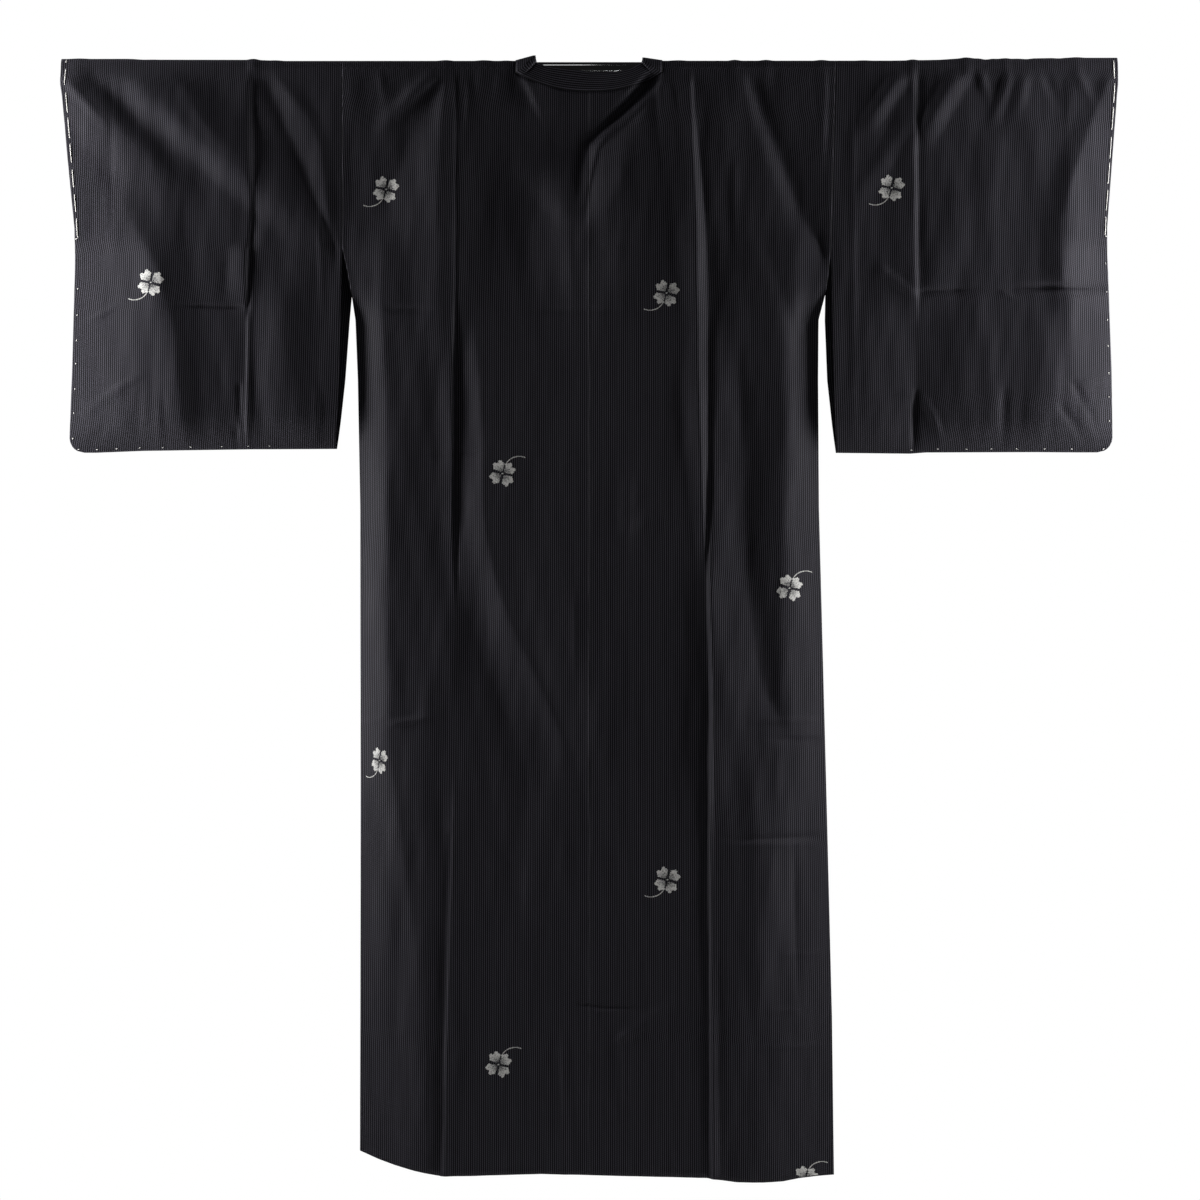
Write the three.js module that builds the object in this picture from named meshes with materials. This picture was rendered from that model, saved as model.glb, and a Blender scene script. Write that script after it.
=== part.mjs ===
// A woman's kimono coat hung on a plain rod that runs through both sleeves.
//
// Millimetres, +Z up, +X to the right of someone who faces the coat's back, and the back
// faces -Y. The origin is the middle of the rod's axis. The wearer's left is at -X.
//
// The coat is cut as a kimono is: each half of the body is one length of cloth from the back
// hem over the rod to the front hem, and each sleeve is one length folded over the rod. A
// place on the cloth is given by x and by its run: the distance along the cloth from the
// fold over the rod, negative down the back and positive down the front. Tables that follow
// the hanging cloth use its drop, which is measured straight down from the top of that fold.
import * as THREE from 'three';

// ---- Driving dimensions ------------------------------------------------------------------
const WALL = 1.2;             // one layer of the cloth with its turnings
const SEAM_GAP = 0.3;         // air left along every seam
const ROD_RADIUS = 10;
const ROD_LENGTH = 1300;
const ROD_CHAMFER = 1.5;
const ROD_SIDES = 32;
const BODY_LENGTH = 1400;     // shoulder fold to hem
const ARMHOLE = 235;          // drop to the end of the seam between body and sleeve
const SIDE_SLIT_END = 330;    // drop to the end of the open slit in the body's side
const CUFF_OPENING = 222;     // drop to the end of the open part of the cuff
const SLEEVE_DROP = 490;
const SLEEVE_CORNER = 19;     // radius of the sleeve's outer lower corner
const NECK_HALF = 92;         // centre line to the neckband's seam, and to the front edge
const NECK_DEPTH = 175;       // drop of the square neck in front
const BAND_WIDTH = 25;
const BAND_WALL = 2;          // the neckband is folded double
const BAND_CELLS = 3;         // rows of facets across the neckband
const OVERLAP_REACH = 180;    // how far each overlap panel reaches past its own seam
const OVERLAP_STEP = 2.4;     // how far the panels stand apart where they lie on each other
const CREASE_HALF = 6;        // half width of a pressed storage crease
const SIDE_ROLL = 48;         // width in which the body opens out from its side seam
const CUFF_ROLL = { left: 110, right: 70 };   // the same from each sleeve's outer edge
const BOTTOM_ROLL = 40;       // the same from a sleeve's bottom seam
const EDGE_FADE = 16;         // folds die out in this width beside an edge
const FOLDS_FULL = 60;        // and grow from nothing on the rod to their height at this drop
const FOLD_TIP = 0.2;         // share of a fold's length in which each of its ends dies out
const ROOM_BLEND = 100;       // width in which the sleeve's room passes into the body's
const SIDE_SEAM = { from: ARMHOLE + 40, to: SIDE_SLIT_END + 10 };       // drops in which the side
const CUFF_SEAM = { from: CUFF_OPENING - 10, to: CUFF_OPENING + 25 };   // and the cuff are drawn shut
const CUFF_SLACK = { from: 20, to: 120, share: 0.5 };   // the open cuff narrows to this share of its room
const BAND_TUCK = { from: 40, to: 120 };   // runs in which the neckband joins its overlap panel

// The cloth's middle surface over the rod, and the top of its outer face.
const FOLD_RADIUS = ROD_RADIUS + SEAM_GAP + WALL / 2;
const TOP = FOLD_RADIUS + WALL / 2;
const QUARTER = FOLD_RADIUS * Math.PI / 2;
const SEWN = (SEAM_GAP + WALL) / 2;   // half gap between two middle surfaces sewn together

// ---- Outline tables: half widths and drops, a row for each section -----------------------
// The body's side, from the sleeve seam down the open slit and the side seam to the hem.
const SIDE_EDGE = [
  { drop: 0, left: 309, right: 309 },
  { drop: 235, left: 309, right: 303 },
  { drop: 262, left: 303, right: 300.5 },
  { drop: 290, left: 298, right: 297 },
  { drop: 325, left: 293, right: 288 },
  { drop: 400, left: 290, right: 287.5 },
  { drop: 560, left: 287, right: 288.5 },
  { drop: 900, left: 286.5, right: 297.5 },
  { drop: 1200, left: 287, right: 305 },
  { drop: 1400, left: 287.5, right: 307.5 },
];
// The sleeve's inner edge. Below the armhole it is open, and its front layer swings inward.
const SLEEVE_INNER_BACK = [
  { drop: 0, left: 309, right: 309 },
  { drop: 235, left: 309, right: 303 },
  { drop: 413, left: 314, right: 307.5 },
  { drop: 490, left: 318, right: 310 },
];
const SLEEVE_INNER_FRONT = [
  { drop: 0, left: 309, right: 309 },
  { drop: 235, left: 309, right: 303 },
  { drop: 262, left: 304.8, right: 302 },
  { drop: 290, left: 300, right: 299.3 },
  { drop: 325, left: 301.5, right: 297 },
  { drop: 400, left: 307, right: 300 },
  { drop: 490, left: 316.5, right: 310 },
];
const CUFF_EDGE = [
  { drop: 0, left: 662, right: 663 },
  { drop: 30, left: 662, right: 663 },
  { drop: 44, left: 660, right: 661.5 },
  { drop: 112, left: 655, right: 657 },
  { drop: 212, left: 645, right: 649.5 },
  { drop: 262, left: 645.5, right: 651.5 },
  { drop: 388, left: 649, right: 656 },
  { drop: 490, left: 653, right: 657.5 },
];
// Sleeve bottom and body hem, as drops against the distance from the centre line.
const SLEEVE_BOTTOM = [
  { out: 310, left: 487, right: 492 },
  { out: 403, left: 487.5, right: 493 },
  { out: 423, left: 487.5, right: 491.5 },
  { out: 560, left: 489.5, right: 491 },
  { out: 620, left: 492, right: 491.5 },
  { out: 650, left: 492, right: 491.5 },
];
const HEM = [
  { out: 0, left: 1396.5, right: 1396.5 },
  { out: 60, left: 1395, right: 1398 },
  { out: 145, left: 1397.5, right: 1400 },
  { out: 185, left: 1398, right: 1405.5 },
  { out: 218, left: 1391.5, right: 1406 },
  { out: 243, left: 1385, right: 1405 },
  { out: 264, left: 1378, right: 1401.5 },
  { out: 287, left: 1368.5, right: 1399.5 },
  { out: 307, left: 1362, right: 1398.5 },
];
// How far the folded top of the sleeves stands above the rod, along x.
const TOP_RISE = [
  { x: -663, rise: 2.5 },
  { x: -580, rise: 2.7 },
  { x: -540, rise: 1.6 },
  { x: -423, rise: 1.4 },
  { x: -380, rise: 0 },
  { x: 380, rise: 0.4 },
  { x: 440, rise: 1.5 },
  { x: 470, rise: 3.6 },
  { x: 520, rise: 2.6 },
  { x: 600, rise: 4.1 },
  { x: 664, rise: 4.1 },
];
// The curved back neckline, where the neckband is sewn on.
const NECKLINE = [
  { out: 0, drop: 40 },
  { out: 20, drop: 38.3 },
  { out: 40, drop: 35.3 },
  { out: 60, drop: 30.5 },
  { out: 77, drop: 23 },
  { out: NECK_HALF, drop: 16 },
];
// Half the room between the cloth's back and front, before its edges are sewn together.
const BODY_ROOM = [
  { drop: 11.5, room: FOLD_RADIUS },
  { drop: 60, room: 15 },
  { drop: 235, room: 18 },
  { drop: 400, room: 20 },
];
const SLEEVE_ROOM = [
  { drop: 11.5, room: FOLD_RADIUS },
  { drop: 60, room: 14 },
  { drop: 235, room: 16 },
];
// Where the pressed storage creases run down each half of the body and each sleeve.
const BODY_CREASE = [
  { drop: 0, left: 167, right: 129 },
  { drop: 660, left: 167, right: 148 },
  { drop: 920, left: 171, right: 158 },
  { drop: 1400, left: 180, right: 160 },
];
const SLEEVE_CREASE = [
  { drop: 0, left: 423, right: 407 },
  { drop: 490, left: 430, right: 411 },
];

// ---- Folds: a soft ridge (high > 0) or trough from x1, drop1 to x2, drop2 ----------------
// bow bends the line sideways at its middle, and wide is half the fold's width.
const BODY_BACK_FOLDS = [
  { x1: -167, drop1: -60, x2: -167, drop2: 664, bow: 0, wide: 8, high: -3 },
  { x1: -150, drop1: 260, x2: -146, drop2: 680, bow: 0, wide: 20, high: 3 },
  { x1: -171, drop1: 850, x2: -181, drop2: 1500, bow: 0, wide: 10, high: 4 },
  { x1: -188, drop1: 850, x2: -197, drop2: 1500, bow: 0, wide: 15, high: -3 },
  { x1: 129, drop1: -60, x2: 148, drop2: 700, bow: 0, wide: 9, high: 4 },
  { x1: 141, drop1: -60, x2: 160, drop2: 700, bow: 0, wide: 10, high: -2.5 },
  { x1: 158, drop1: 600, x2: 160, drop2: 1500, bow: 0, wide: 12, high: 4 },
  { x1: -152, drop1: 380, x2: -108, drop2: 760, bow: 8, wide: 32, high: 6 },
  { x1: -118, drop1: 650, x2: 8, drop2: 1000, bow: -14, wide: 34, high: 6 },
  { x1: -160, drop1: 650, x2: -137, drop2: 1060, bow: 0, wide: 28, high: -5 },
  { x1: 225, drop1: 380, x2: 225, drop2: 830, bow: 0, wide: 30, high: -5 },
  { x1: 175, drop1: 460, x2: 178, drop2: 1230, bow: 0, wide: 28, high: 3.5 },
  { x1: 230, drop1: 760, x2: 234, drop2: 1250, bow: 0, wide: 26, high: 4 },
  { x1: -177, drop1: -10, x2: -262, drop2: 84, bow: -8, wide: 14, high: 5 },
  { x1: -181, drop1: 10, x2: -260, drop2: 116, bow: -8, wide: 11, high: -4 },
  { x1: -178, drop1: 15, x2: -262, drop2: 185, bow: -14, wide: 20, high: 6 },
  { x1: 194, drop1: -20, x2: 300, drop2: 250, bow: 18, wide: 18, high: 6 },
  { x1: 232, drop1: 15, x2: 254, drop2: 150, bow: 0, wide: 18, high: -5 },
  { x1: 110, drop1: 10, x2: 8, drop2: 125, bow: 0, wide: 16, high: -6 },
  { x1: 92, drop1: 20, x2: 10, drop2: 185, bow: -8, wide: 17, high: 5 },
  { x1: -60, drop1: 60, x2: 12, drop2: 160, bow: 0, wide: 32, high: -4 },
  { x1: -43, drop1: 120, x2: -43, drop2: 320, bow: 0, wide: 28, high: 4 },
];
const BODY_FRONT_FOLDS = [
  { x1: -167, drop1: -60, x2: -176, drop2: 1500, bow: 0, wide: 9, high: 3.5 },
  { x1: 129, drop1: -60, x2: 158, drop2: 1500, bow: 0, wide: 9, high: 3.5 },
  { x1: -200, drop1: 0, x2: -296, drop2: 225, bow: -14, wide: 20, high: 6 },
  { x1: 205, drop1: 0, x2: 290, drop2: 180, bow: 12, wide: 18, high: 5 },
  { x1: -225, drop1: 380, x2: -215, drop2: 900, bow: 0, wide: 28, high: -5 },
  { x1: 215, drop1: 420, x2: 195, drop2: 960, bow: 8, wide: 30, high: 5 },
  { x1: -225, drop1: 860, x2: -228, drop2: 1380, bow: 0, wide: 28, high: 5 },
  { x1: 240, drop1: 800, x2: 236, drop2: 1300, bow: 0, wide: 26, high: -4 },
];
const SLEEVE_BACK_FOLDS = [
  { x1: -618, drop1: -10, x2: -318, drop2: 236, bow: 8, wide: 17, high: 7 },
  { x1: -600, drop1: -10, x2: -490, drop2: 80, bow: 0, wide: 12, high: -4 },
  { x1: -628, drop1: 40, x2: -430, drop2: 200, bow: 0, wide: 17, high: -5 },
  { x1: -415, drop1: 30, x2: -318, drop2: 250, bow: 14, wide: 13, high: -4 },
  { x1: -375, drop1: 30, x2: -312, drop2: 130, bow: 0, wide: 13, high: 4 },
  { x1: -423, drop1: -30, x2: -424, drop2: 180, bow: 0, wide: 9, high: -4 },
  { x1: -426, drop1: 260, x2: -429, drop2: 520, bow: 0, wide: 9, high: 3 },
  { x1: -526, drop1: 300, x2: -510, drop2: 510, bow: 0, wide: 16, high: 3 },
  { x1: 407, drop1: -60, x2: 411, drop2: 340, bow: 0, wide: 9, high: 4 },
  { x1: 412, drop1: -10, x2: 346, drop2: 88, bow: 0, wide: 13, high: 5 },
  { x1: 470, drop1: -10, x2: 416, drop2: 96, bow: 6, wide: 13, high: 5 },
  { x1: 478, drop1: 0, x2: 430, drop2: 130, bow: 6, wide: 11, high: -4 },
  { x1: 592, drop1: -30, x2: 592, drop2: 210, bow: 0, wide: 13, high: -4 },
  { x1: 516, drop1: 370, x2: 516, drop2: 520, bow: 0, wide: 14, high: -3 },
];
const SLEEVE_FRONT_FOLDS = [
  { x1: -423, drop1: -60, x2: -430, drop2: 520, bow: 0, wide: 9, high: 3.5 },
  { x1: 407, drop1: -60, x2: 411, drop2: 520, bow: 0, wide: 9, high: 3.5 },
  { x1: -600, drop1: 0, x2: -345, drop2: 260, bow: 12, wide: 20, high: 6 },
  { x1: 590, drop1: 0, x2: 370, drop2: 230, bow: -10, wide: 20, high: 6 },
  { x1: -540, drop1: 200, x2: -520, drop2: 440, bow: 0, wide: 22, high: -4 },
  { x1: 530, drop1: 180, x2: 512, drop2: 430, bow: 0, wide: 22, high: -4 },
];

// ---- Helpers -----------------------------------------------------------------------------
const mix = (a, b, t) => a + (b - a) * t;
const smooth = (from, to, value) => THREE.MathUtils.smoothstep(value, from, to);
const halfOf = (x) => (x < 0 ? 'left' : 'right');

// Reads a table at a value of its first column, straight between rows.
function read(table, key, column, value) {
  if (value <= table[0][key]) return table[0][column];
  for (let row = 1; row < table.length; row += 1) {
    const before = table[row - 1];
    const after = table[row];
    if (value <= after[key]) {
      const share = (value - before[key]) / (after[key] - before[key]);
      return mix(before[column], after[column], share);
    }
  }
  return table[table.length - 1][column];
}

// How far the folds of a table raise the cloth at x and drop.
function foldHeight(folds, x, drop) {
  let height = 0;
  for (const fold of folds) {
    const dx = fold.x2 - fold.x1;
    const dz = fold.drop2 - fold.drop1;
    const length = Math.hypot(dx, dz);
    const along = ((x - fold.x1) * dx + (drop - fold.drop1) * dz) / length ** 2;
    if (along <= 0 || along >= 1) continue;
    const across = ((x - fold.x1) * dz - (drop - fold.drop1) * dx) / length;
    const away = (across - 4 * fold.bow * along * (1 - along)) / fold.wide;
    if (Math.abs(away) >= 1) continue;
    const ends = smooth(0, FOLD_TIP, along) * smooth(0, FOLD_TIP, 1 - along);
    height += fold.high * (1 - away ** 2) ** 2 * ends;
  }
  return height;
}

// Distance along the cloth from the fold to a drop below the rod's axis.
const runAt = (drop) => QUARTER + drop - TOP;

// ---- How the cloth hangs ------------------------------------------------------------------
// How far an edge opens out inward from a seam: 0 on the seam, 1 past the given width.
const opening = (distance, width) => Math.sin(Math.min(1, Math.max(0, distance / width)) * Math.PI / 2);

// Half the distance between back and front of the body, folds included.
function bodyDepth(x, drop, face) {
  const half = halfOf(x);
  const fromSide = read(SIDE_EDGE, 'drop', half, drop) - Math.abs(x);
  const atSleeve = read(SLEEVE_ROOM, 'drop', 'room', drop);
  const inBody = read(BODY_ROOM, 'drop', 'room', drop);
  const room = mix(atSleeve, inBody, smooth(0, ROOM_BLEND, fromSide));
  const folds = foldHeight(face < 0 ? BODY_BACK_FOLDS : BODY_FRONT_FOLDS, x, drop);
  const free = smooth(TOP, FOLDS_FULL, drop) * smooth(0, EDGE_FADE, fromSide);
  const sewn = smooth(SIDE_SEAM.from, SIDE_SEAM.to, drop);
  const open = mix(1, opening(fromSide, SIDE_ROLL), sewn);
  return mix(SEWN, room + folds * free, open);
}

// The same for a sleeve, which is sewn along its bottom and its outer edge below the cuff.
function sleeveDepth(x, drop, face) {
  const half = halfOf(x);
  const out = Math.abs(x);
  const room = read(SLEEVE_ROOM, 'drop', 'room', drop);
  const fromCuff = read(CUFF_EDGE, 'drop', half, drop) - out;
  const fromInner = out - read(SLEEVE_INNER_BACK, 'drop', half, drop);
  const fromBottom = read(SLEEVE_BOTTOM, 'out', half, out) - drop;
  const folds = foldHeight(face < 0 ? SLEEVE_BACK_FOLDS : SLEEVE_FRONT_FOLDS, x, drop);
  const free = smooth(TOP, FOLDS_FULL, drop) * smooth(0, EDGE_FADE, Math.max(fromInner, 0));
  const sewn = smooth(CUFF_SEAM.from, CUFF_SEAM.to, drop);
  const slack = mix(1, CUFF_SLACK.share, smooth(CUFF_SLACK.from, CUFF_SLACK.to, drop)) * (1 - sewn);
  const atCuff = mix(slack, 1, opening(fromCuff, CUFF_ROLL[half]));
  const atBottom = opening(fromBottom, BOTTOM_ROLL);
  return mix(SEWN, room + folds * free, atCuff * atBottom);
}

// A point of the cloth's middle surface, moved outward by out.
function hang(depth, x, run, out = 0) {
  const face = Math.sign(run);
  const length = Math.abs(run);
  if (length < QUARTER) {
    const turn = run / FOLD_RADIUS;
    const radius = FOLD_RADIUS + out;
    const high = radius + read(TOP_RISE, 'x', 'rise', x);
    return new THREE.Vector3(x, radius * Math.sin(turn), high * Math.cos(turn));
  }
  const drop = TOP + length - QUARTER;
  return new THREE.Vector3(x, face * (depth(x, drop, face) + out), TOP - drop);
}

// ---- A wall of cloth from a grid of middle points -----------------------------------------
// grid[row][column] is a Vector3, or null where there is no cloth. A cell is made where all
// four of its corners are there, on both faces, and its free edges are closed.
function clothWall(grid, thickness) {
  const rows = grid.length;
  const columns = grid[0].length;
  const normals = grid.map((line) => line.map(() => new THREE.Vector3()));
  const cells = [];
  for (let r = 0; r + 1 < rows; r += 1) {
    for (let c = 0; c + 1 < columns; c += 1) {
      const corners = [[r, c], [r, c + 1], [r + 1, c + 1], [r + 1, c]];
      const points = corners.map(([i, j]) => grid[i][j]);
      if (points.some((point) => point === null)) continue;
      const normal = points[2].clone().sub(points[0]).cross(points[3].clone().sub(points[1]));
      corners.forEach(([i, j]) => normals[i][j].add(normal.clone().normalize()));
      const shorter = points[0].distanceTo(points[2]) <= points[1].distanceTo(points[3]);
      cells.push(shorter ? corners : [corners[1], corners[2], corners[3], corners[0]]);
    }
  }
  const index = new Map();
  const positions = [];
  // Gives the number of a grid point's vertex on the outer (+1) or inner (-1) face.
  const vertex = ([r, c], face) => {
    const key = `${r},${c},${face}`;
    if (!index.has(key)) {
      const shift = normals[r][c].clone().normalize().multiplyScalar(face * thickness / 2);
      index.set(key, positions.length / 3);
      positions.push(...grid[r][c].clone().add(shift).toArray());
    }
    return index.get(key);
  };
  const faces = [];
  const edges = new Map();
  for (const [a, b, c, d] of cells) {
    faces.push(vertex(a, 1), vertex(b, 1), vertex(c, 1), vertex(a, 1), vertex(c, 1), vertex(d, 1));
    faces.push(vertex(a, -1), vertex(c, -1), vertex(b, -1), vertex(a, -1), vertex(d, -1), vertex(c, -1));
    for (const [p, q] of [[a, b], [b, c], [c, d], [d, a]]) {
      if (!edges.delete(`${q}|${p}`)) edges.set(`${p}|${q}`, [p, q]);
    }
  }
  for (const [p, q] of edges.values()) {
    faces.push(vertex(q, 1), vertex(p, 1), vertex(p, -1), vertex(q, 1), vertex(p, -1), vertex(q, -1));
  }
  const geometry = new THREE.BufferGeometry();
  geometry.setAttribute('position', new THREE.Float32BufferAttribute(positions, 3));
  geometry.setIndex(faces);
  geometry.computeVertexNormals();
  return geometry;
}

// Distances from the centre line of a row's points, between the given lines.
function spread(lines) {
  const places = [];
  lines.forEach((line, number) => {
    places.push(line.at);
    if (number + 1 === lines.length) return;
    for (let cell = 1; cell < line.cells; cell += 1) {
      places.push(mix(line.at, lines[number + 1].at, cell / line.cells));
    }
  });
  return places;
}

// ---- Rows of the grids, as drops -----------------------------------------------------------
const TURNS = [-67.5, -45, -22.5, 0, 22.5, 45, 67.5];   // degrees round the fold over the rod
const NECK_TOP = NECKLINE[NECKLINE.length - 1].drop;
const NECK_ROWS_FROM = 90;                       // above this drop the rows follow the neckline
const HEM_ROWS_FROM = 1100;                      // below this drop the rows follow the hem
const BODY_BACK_ROWS = [TOP, NECK_TOP, 28, 42, 56, 72, 90, 112, 137, 165, 200, 235, 282, 330, 380, 430, 490,
  550, 610, 670, 730, 790, 850, 920, 990, 1100, 1200, 1300, 1360, BODY_LENGTH];
const BODY_FRONT_ROWS = [TOP, 28, 60, 95, 135, NECK_DEPTH, 235, 282, 330, 400, 480, 570, 670, 770, 870,
  980, 1100, 1220, 1320, BODY_LENGTH];
const SLEEVE_BACK_ROWS = [TOP, 28, 46, 66, 90, 115, 140, 168, 200, 235, 270, 310, 355, 400, 440,
  SLEEVE_DROP - SLEEVE_CORNER, 478, 484, 488.5, SLEEVE_DROP];
const SLEEVE_FRONT_ROWS = [TOP, 28, 60, 95, 135, 180, 235, 270, 310, 355, 400, 440,
  SLEEVE_DROP - SLEEVE_CORNER, 478, 484, 488.5, SLEEVE_DROP];
const BOTTOM_ROWS_FROM = 400;                    // below this drop the rows follow the bottom

// All rows of a length of cloth: up the back, over the rod and down the front.
function clothRows(backRows, frontRows) {
  const back = [...backRows].reverse().map((drop) => ({ drop, face: -1 }));
  const over = TURNS.map((turn) => ({ drop: 0, run: THREE.MathUtils.degToRad(turn) * FOLD_RADIUS }));
  const front = frontRows.map((drop) => ({ drop, face: 1 }));
  return [...back, ...over, ...front];
}

// ---- Pieces ---------------------------------------------------------------------------------
// Half of the body: one cloth from the back hem to the front hem, without its shoulder seam.
function bodyHalf(half) {
  const sign = half === 'left' ? -1 : 1;
  const neckEdge = NECK_HALF + SEAM_GAP / 2;
  const grid = clothRows(BODY_BACK_ROWS, BODY_FRONT_ROWS).map((row) => {
    const crease = read(BODY_CREASE, 'drop', half, row.drop);
    const outs = spread([
      ...NECKLINE.slice(0, -1).map(({ out }) => ({ at: Math.max(out, SEAM_GAP / 2), cells: 1 })),
      { at: neckEdge, cells: half === 'left' ? 3 : 2 },
      { at: crease - CREASE_HALF, cells: 1 },
      { at: crease, cells: 1 },
      { at: crease + CREASE_HALF, cells: half === 'left' ? 5 : 6 },
      { at: read(SIDE_EDGE, 'drop', half, row.drop) - SEAM_GAP / 2 },
    ]);
    return outs.map((out) => {
      const inNeck = out < neckEdge - SEAM_GAP / 2;
      if (row.run !== undefined) {
        return inNeck ? null : hang(bodyDepth, sign * out, row.run);
      }
      if (inNeck && (row.face > 0 || row.drop <= TOP)) return null;
      let { drop } = row;
      if (inNeck && drop < NECK_ROWS_FROM) {
        const neck = read(NECKLINE, 'out', 'drop', out);
        drop = mix(neck, NECK_ROWS_FROM, (drop - NECK_TOP) / (NECK_ROWS_FROM - NECK_TOP));
      }
      if (drop > HEM_ROWS_FROM) {
        const share = (drop - HEM_ROWS_FROM) / (BODY_LENGTH - HEM_ROWS_FROM);
        drop = mix(HEM_ROWS_FROM, read(HEM, 'out', half, out), share);
      }
      return hang(bodyDepth, sign * out, row.face * runAt(drop));
    });
  });
  return clothWall(grid, WALL);
}

// A sleeve: one cloth folded over the rod.
function sleeve(half) {
  const sign = half === 'left' ? -1 : 1;
  const grid = clothRows(SLEEVE_BACK_ROWS, SLEEVE_FRONT_ROWS).map((row) => {
    const inner = row.face > 0 ? SLEEVE_INNER_FRONT : SLEEVE_INNER_BACK;
    const crease = read(SLEEVE_CREASE, 'drop', half, row.drop);
    const intoCorner = Math.max(0, SLEEVE_CORNER - (SLEEVE_DROP - row.drop));
    const inset = SLEEVE_CORNER - Math.sqrt(SLEEVE_CORNER ** 2 - intoCorner ** 2);
    const outs = spread([
      { at: read(inner, 'drop', half, row.drop) + SEAM_GAP / 2, cells: 3 },
      { at: crease - CREASE_HALF, cells: 1 },
      { at: crease, cells: 1 },
      { at: crease + CREASE_HALF, cells: 6 },
      { at: read(CUFF_EDGE, 'drop', half, row.drop) - inset },
    ]);
    return outs.map((out) => {
      if (row.run !== undefined) return hang(sleeveDepth, sign * out, row.run);
      let { drop } = row;
      if (drop > BOTTOM_ROWS_FROM) {
        const share = (drop - BOTTOM_ROWS_FROM) / (SLEEVE_DROP - BOTTOM_ROWS_FROM);
        drop = mix(BOTTOM_ROWS_FROM, read(SLEEVE_BOTTOM, 'out', half, out), share);
      }
      return hang(sleeveDepth, sign * out, row.face * runAt(drop));
    });
  });
  return clothWall(grid, WALL);
}

// How far an overlap panel stands out (left) or tucks in (right) at a distance from its seam.
function overlapOut(half, fromSeam) {
  const sign = half === 'left' ? 1 : -1;
  return sign * OVERLAP_STEP * fromSeam / OVERLAP_REACH;
}

// A front overlap panel, from its seam with the body across the whole front opening.
function overlap(half) {
  const sign = half === 'left' ? -1 : 1;
  const cells = 5;
  const rows = BODY_FRONT_ROWS.filter((drop) => drop >= NECK_DEPTH);
  const grid = rows.map((rowDrop) => Array.from({ length: cells + 1 }, (_, cell) => {
    const fromSeam = mix(SEAM_GAP / 2, OVERLAP_REACH, cell / cells);
    const x = sign * (NECK_HALF - fromSeam);
    let drop = rowDrop === NECK_DEPTH ? NECK_DEPTH + SEAM_GAP / 2 : rowDrop;
    if (drop > HEM_ROWS_FROM) {
      const share = (drop - HEM_ROWS_FROM) / (BODY_LENGTH - HEM_ROWS_FROM);
      drop = mix(HEM_ROWS_FROM, read(HEM, 'out', halfOf(x), Math.abs(x)), share);
    }
    return hang(bodyDepth, x, runAt(drop), overlapOut(half, fromSeam));
  }));
  return clothWall(grid, WALL);
}

// Places along half of the neckband. Its seam edge follows the neckline's rows round the back,
// then goes over the shoulder and down beside the square neck. free is the band's other edge,
// with its distance from the centre line and its run, and stand is how far it stands up.
const BAND_BACK = [
  { freeOut: 0, freeRun: -runAt(15.5), stand: 0 },
  { freeOut: 17, freeRun: -runAt(14.5), stand: 0 },
  { freeOut: 35, freeRun: -runAt(12.5), stand: 0 },
  { freeOut: 51, freeRun: -15, stand: 1 },
  { freeOut: 63, freeRun: -11, stand: 3 },
  { freeOut: 67, freeRun: -6, stand: 5 },
];
const BAND_FRONT = [
  { seamRun: -14, freeOut: 67, freeRun: -4, stand: 6 },
  { seamRun: -8, freeOut: 67, freeRun: -1, stand: 6 },
  { seamRun: -3, freeOut: 67, freeRun: 2, stand: 6 },
  { seamRun: 2, freeOut: 67, freeRun: 6, stand: 6 },
  { seamRun: 7, freeOut: 67, freeRun: 10, stand: 5 },
  { seamRun: 12, freeOut: 67, freeRun: 15, stand: 4 },
  { seamRun: 17, freeOut: 67, freeRun: 20, stand: 3 },
  { seamRun: 50, freeOut: 67, freeRun: 48, stand: 1 },
  { seamRun: 90, freeOut: 67, freeRun: 85, stand: 0 },
  { seamRun: 135, freeOut: 67, freeRun: 122, stand: 0 },
  { seamRun: runAt(NECK_DEPTH), freeOut: 67,
    freeRun: runAt(NECK_DEPTH - BAND_WIDTH), stand: 0 },
];
const BAND_ACROSS = [45, 0, -45, NECK_HALF - OVERLAP_REACH];   // places past the corner

// One column of the neckband's grid, from the seam edge to the free edge.
function bandColumn(half, place) {
  const sign = half === 'left' ? -1 : 1;
  const column = [];
  for (let cell = 0; cell <= BAND_CELLS; cell += 1) {
    const share = cell / BAND_CELLS;
    const out = mix(place.seamOut, place.freeOut, share);
    const run = mix(place.seamRun, place.freeRun, share);
    const tuck = overlapOut(half, NECK_HALF - out) * smooth(BAND_TUCK.from, BAND_TUCK.to, run);
    const lift = place.stand * share + (BAND_WALL - WALL) / 2 + tuck;
    column.push(hang(bodyDepth, sign * out, run, lift));
  }
  return column;
}

// The neckband: one strip from the right panel's free edge, round the back, to the left's.
function neckband() {
  const back = BAND_BACK.map((place, row) => ({
    ...place,
    seamOut: Math.min(NECKLINE[row].out, NECK_HALF - SEAM_GAP / 2),
    seamRun: SEAM_GAP - runAt(NECKLINE[row].drop),
  }));
  const front = BAND_FRONT.map((place) => ({ ...place, seamOut: NECK_HALF - SEAM_GAP / 2 }));
  const corner = front[front.length - 1];
  corner.seamRun -= SEAM_GAP / 2;
  const across = BAND_ACROSS.map((out) => ({ ...corner, seamOut: out, freeOut: out }));
  const places = [...back, ...front, ...across];
  const right = places.map((place) => bandColumn('right', place)).reverse();
  const left = places.slice(1).map((place) => bandColumn('left', place));
  return clothWall([...right, ...left], BAND_WALL);
}

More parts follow.
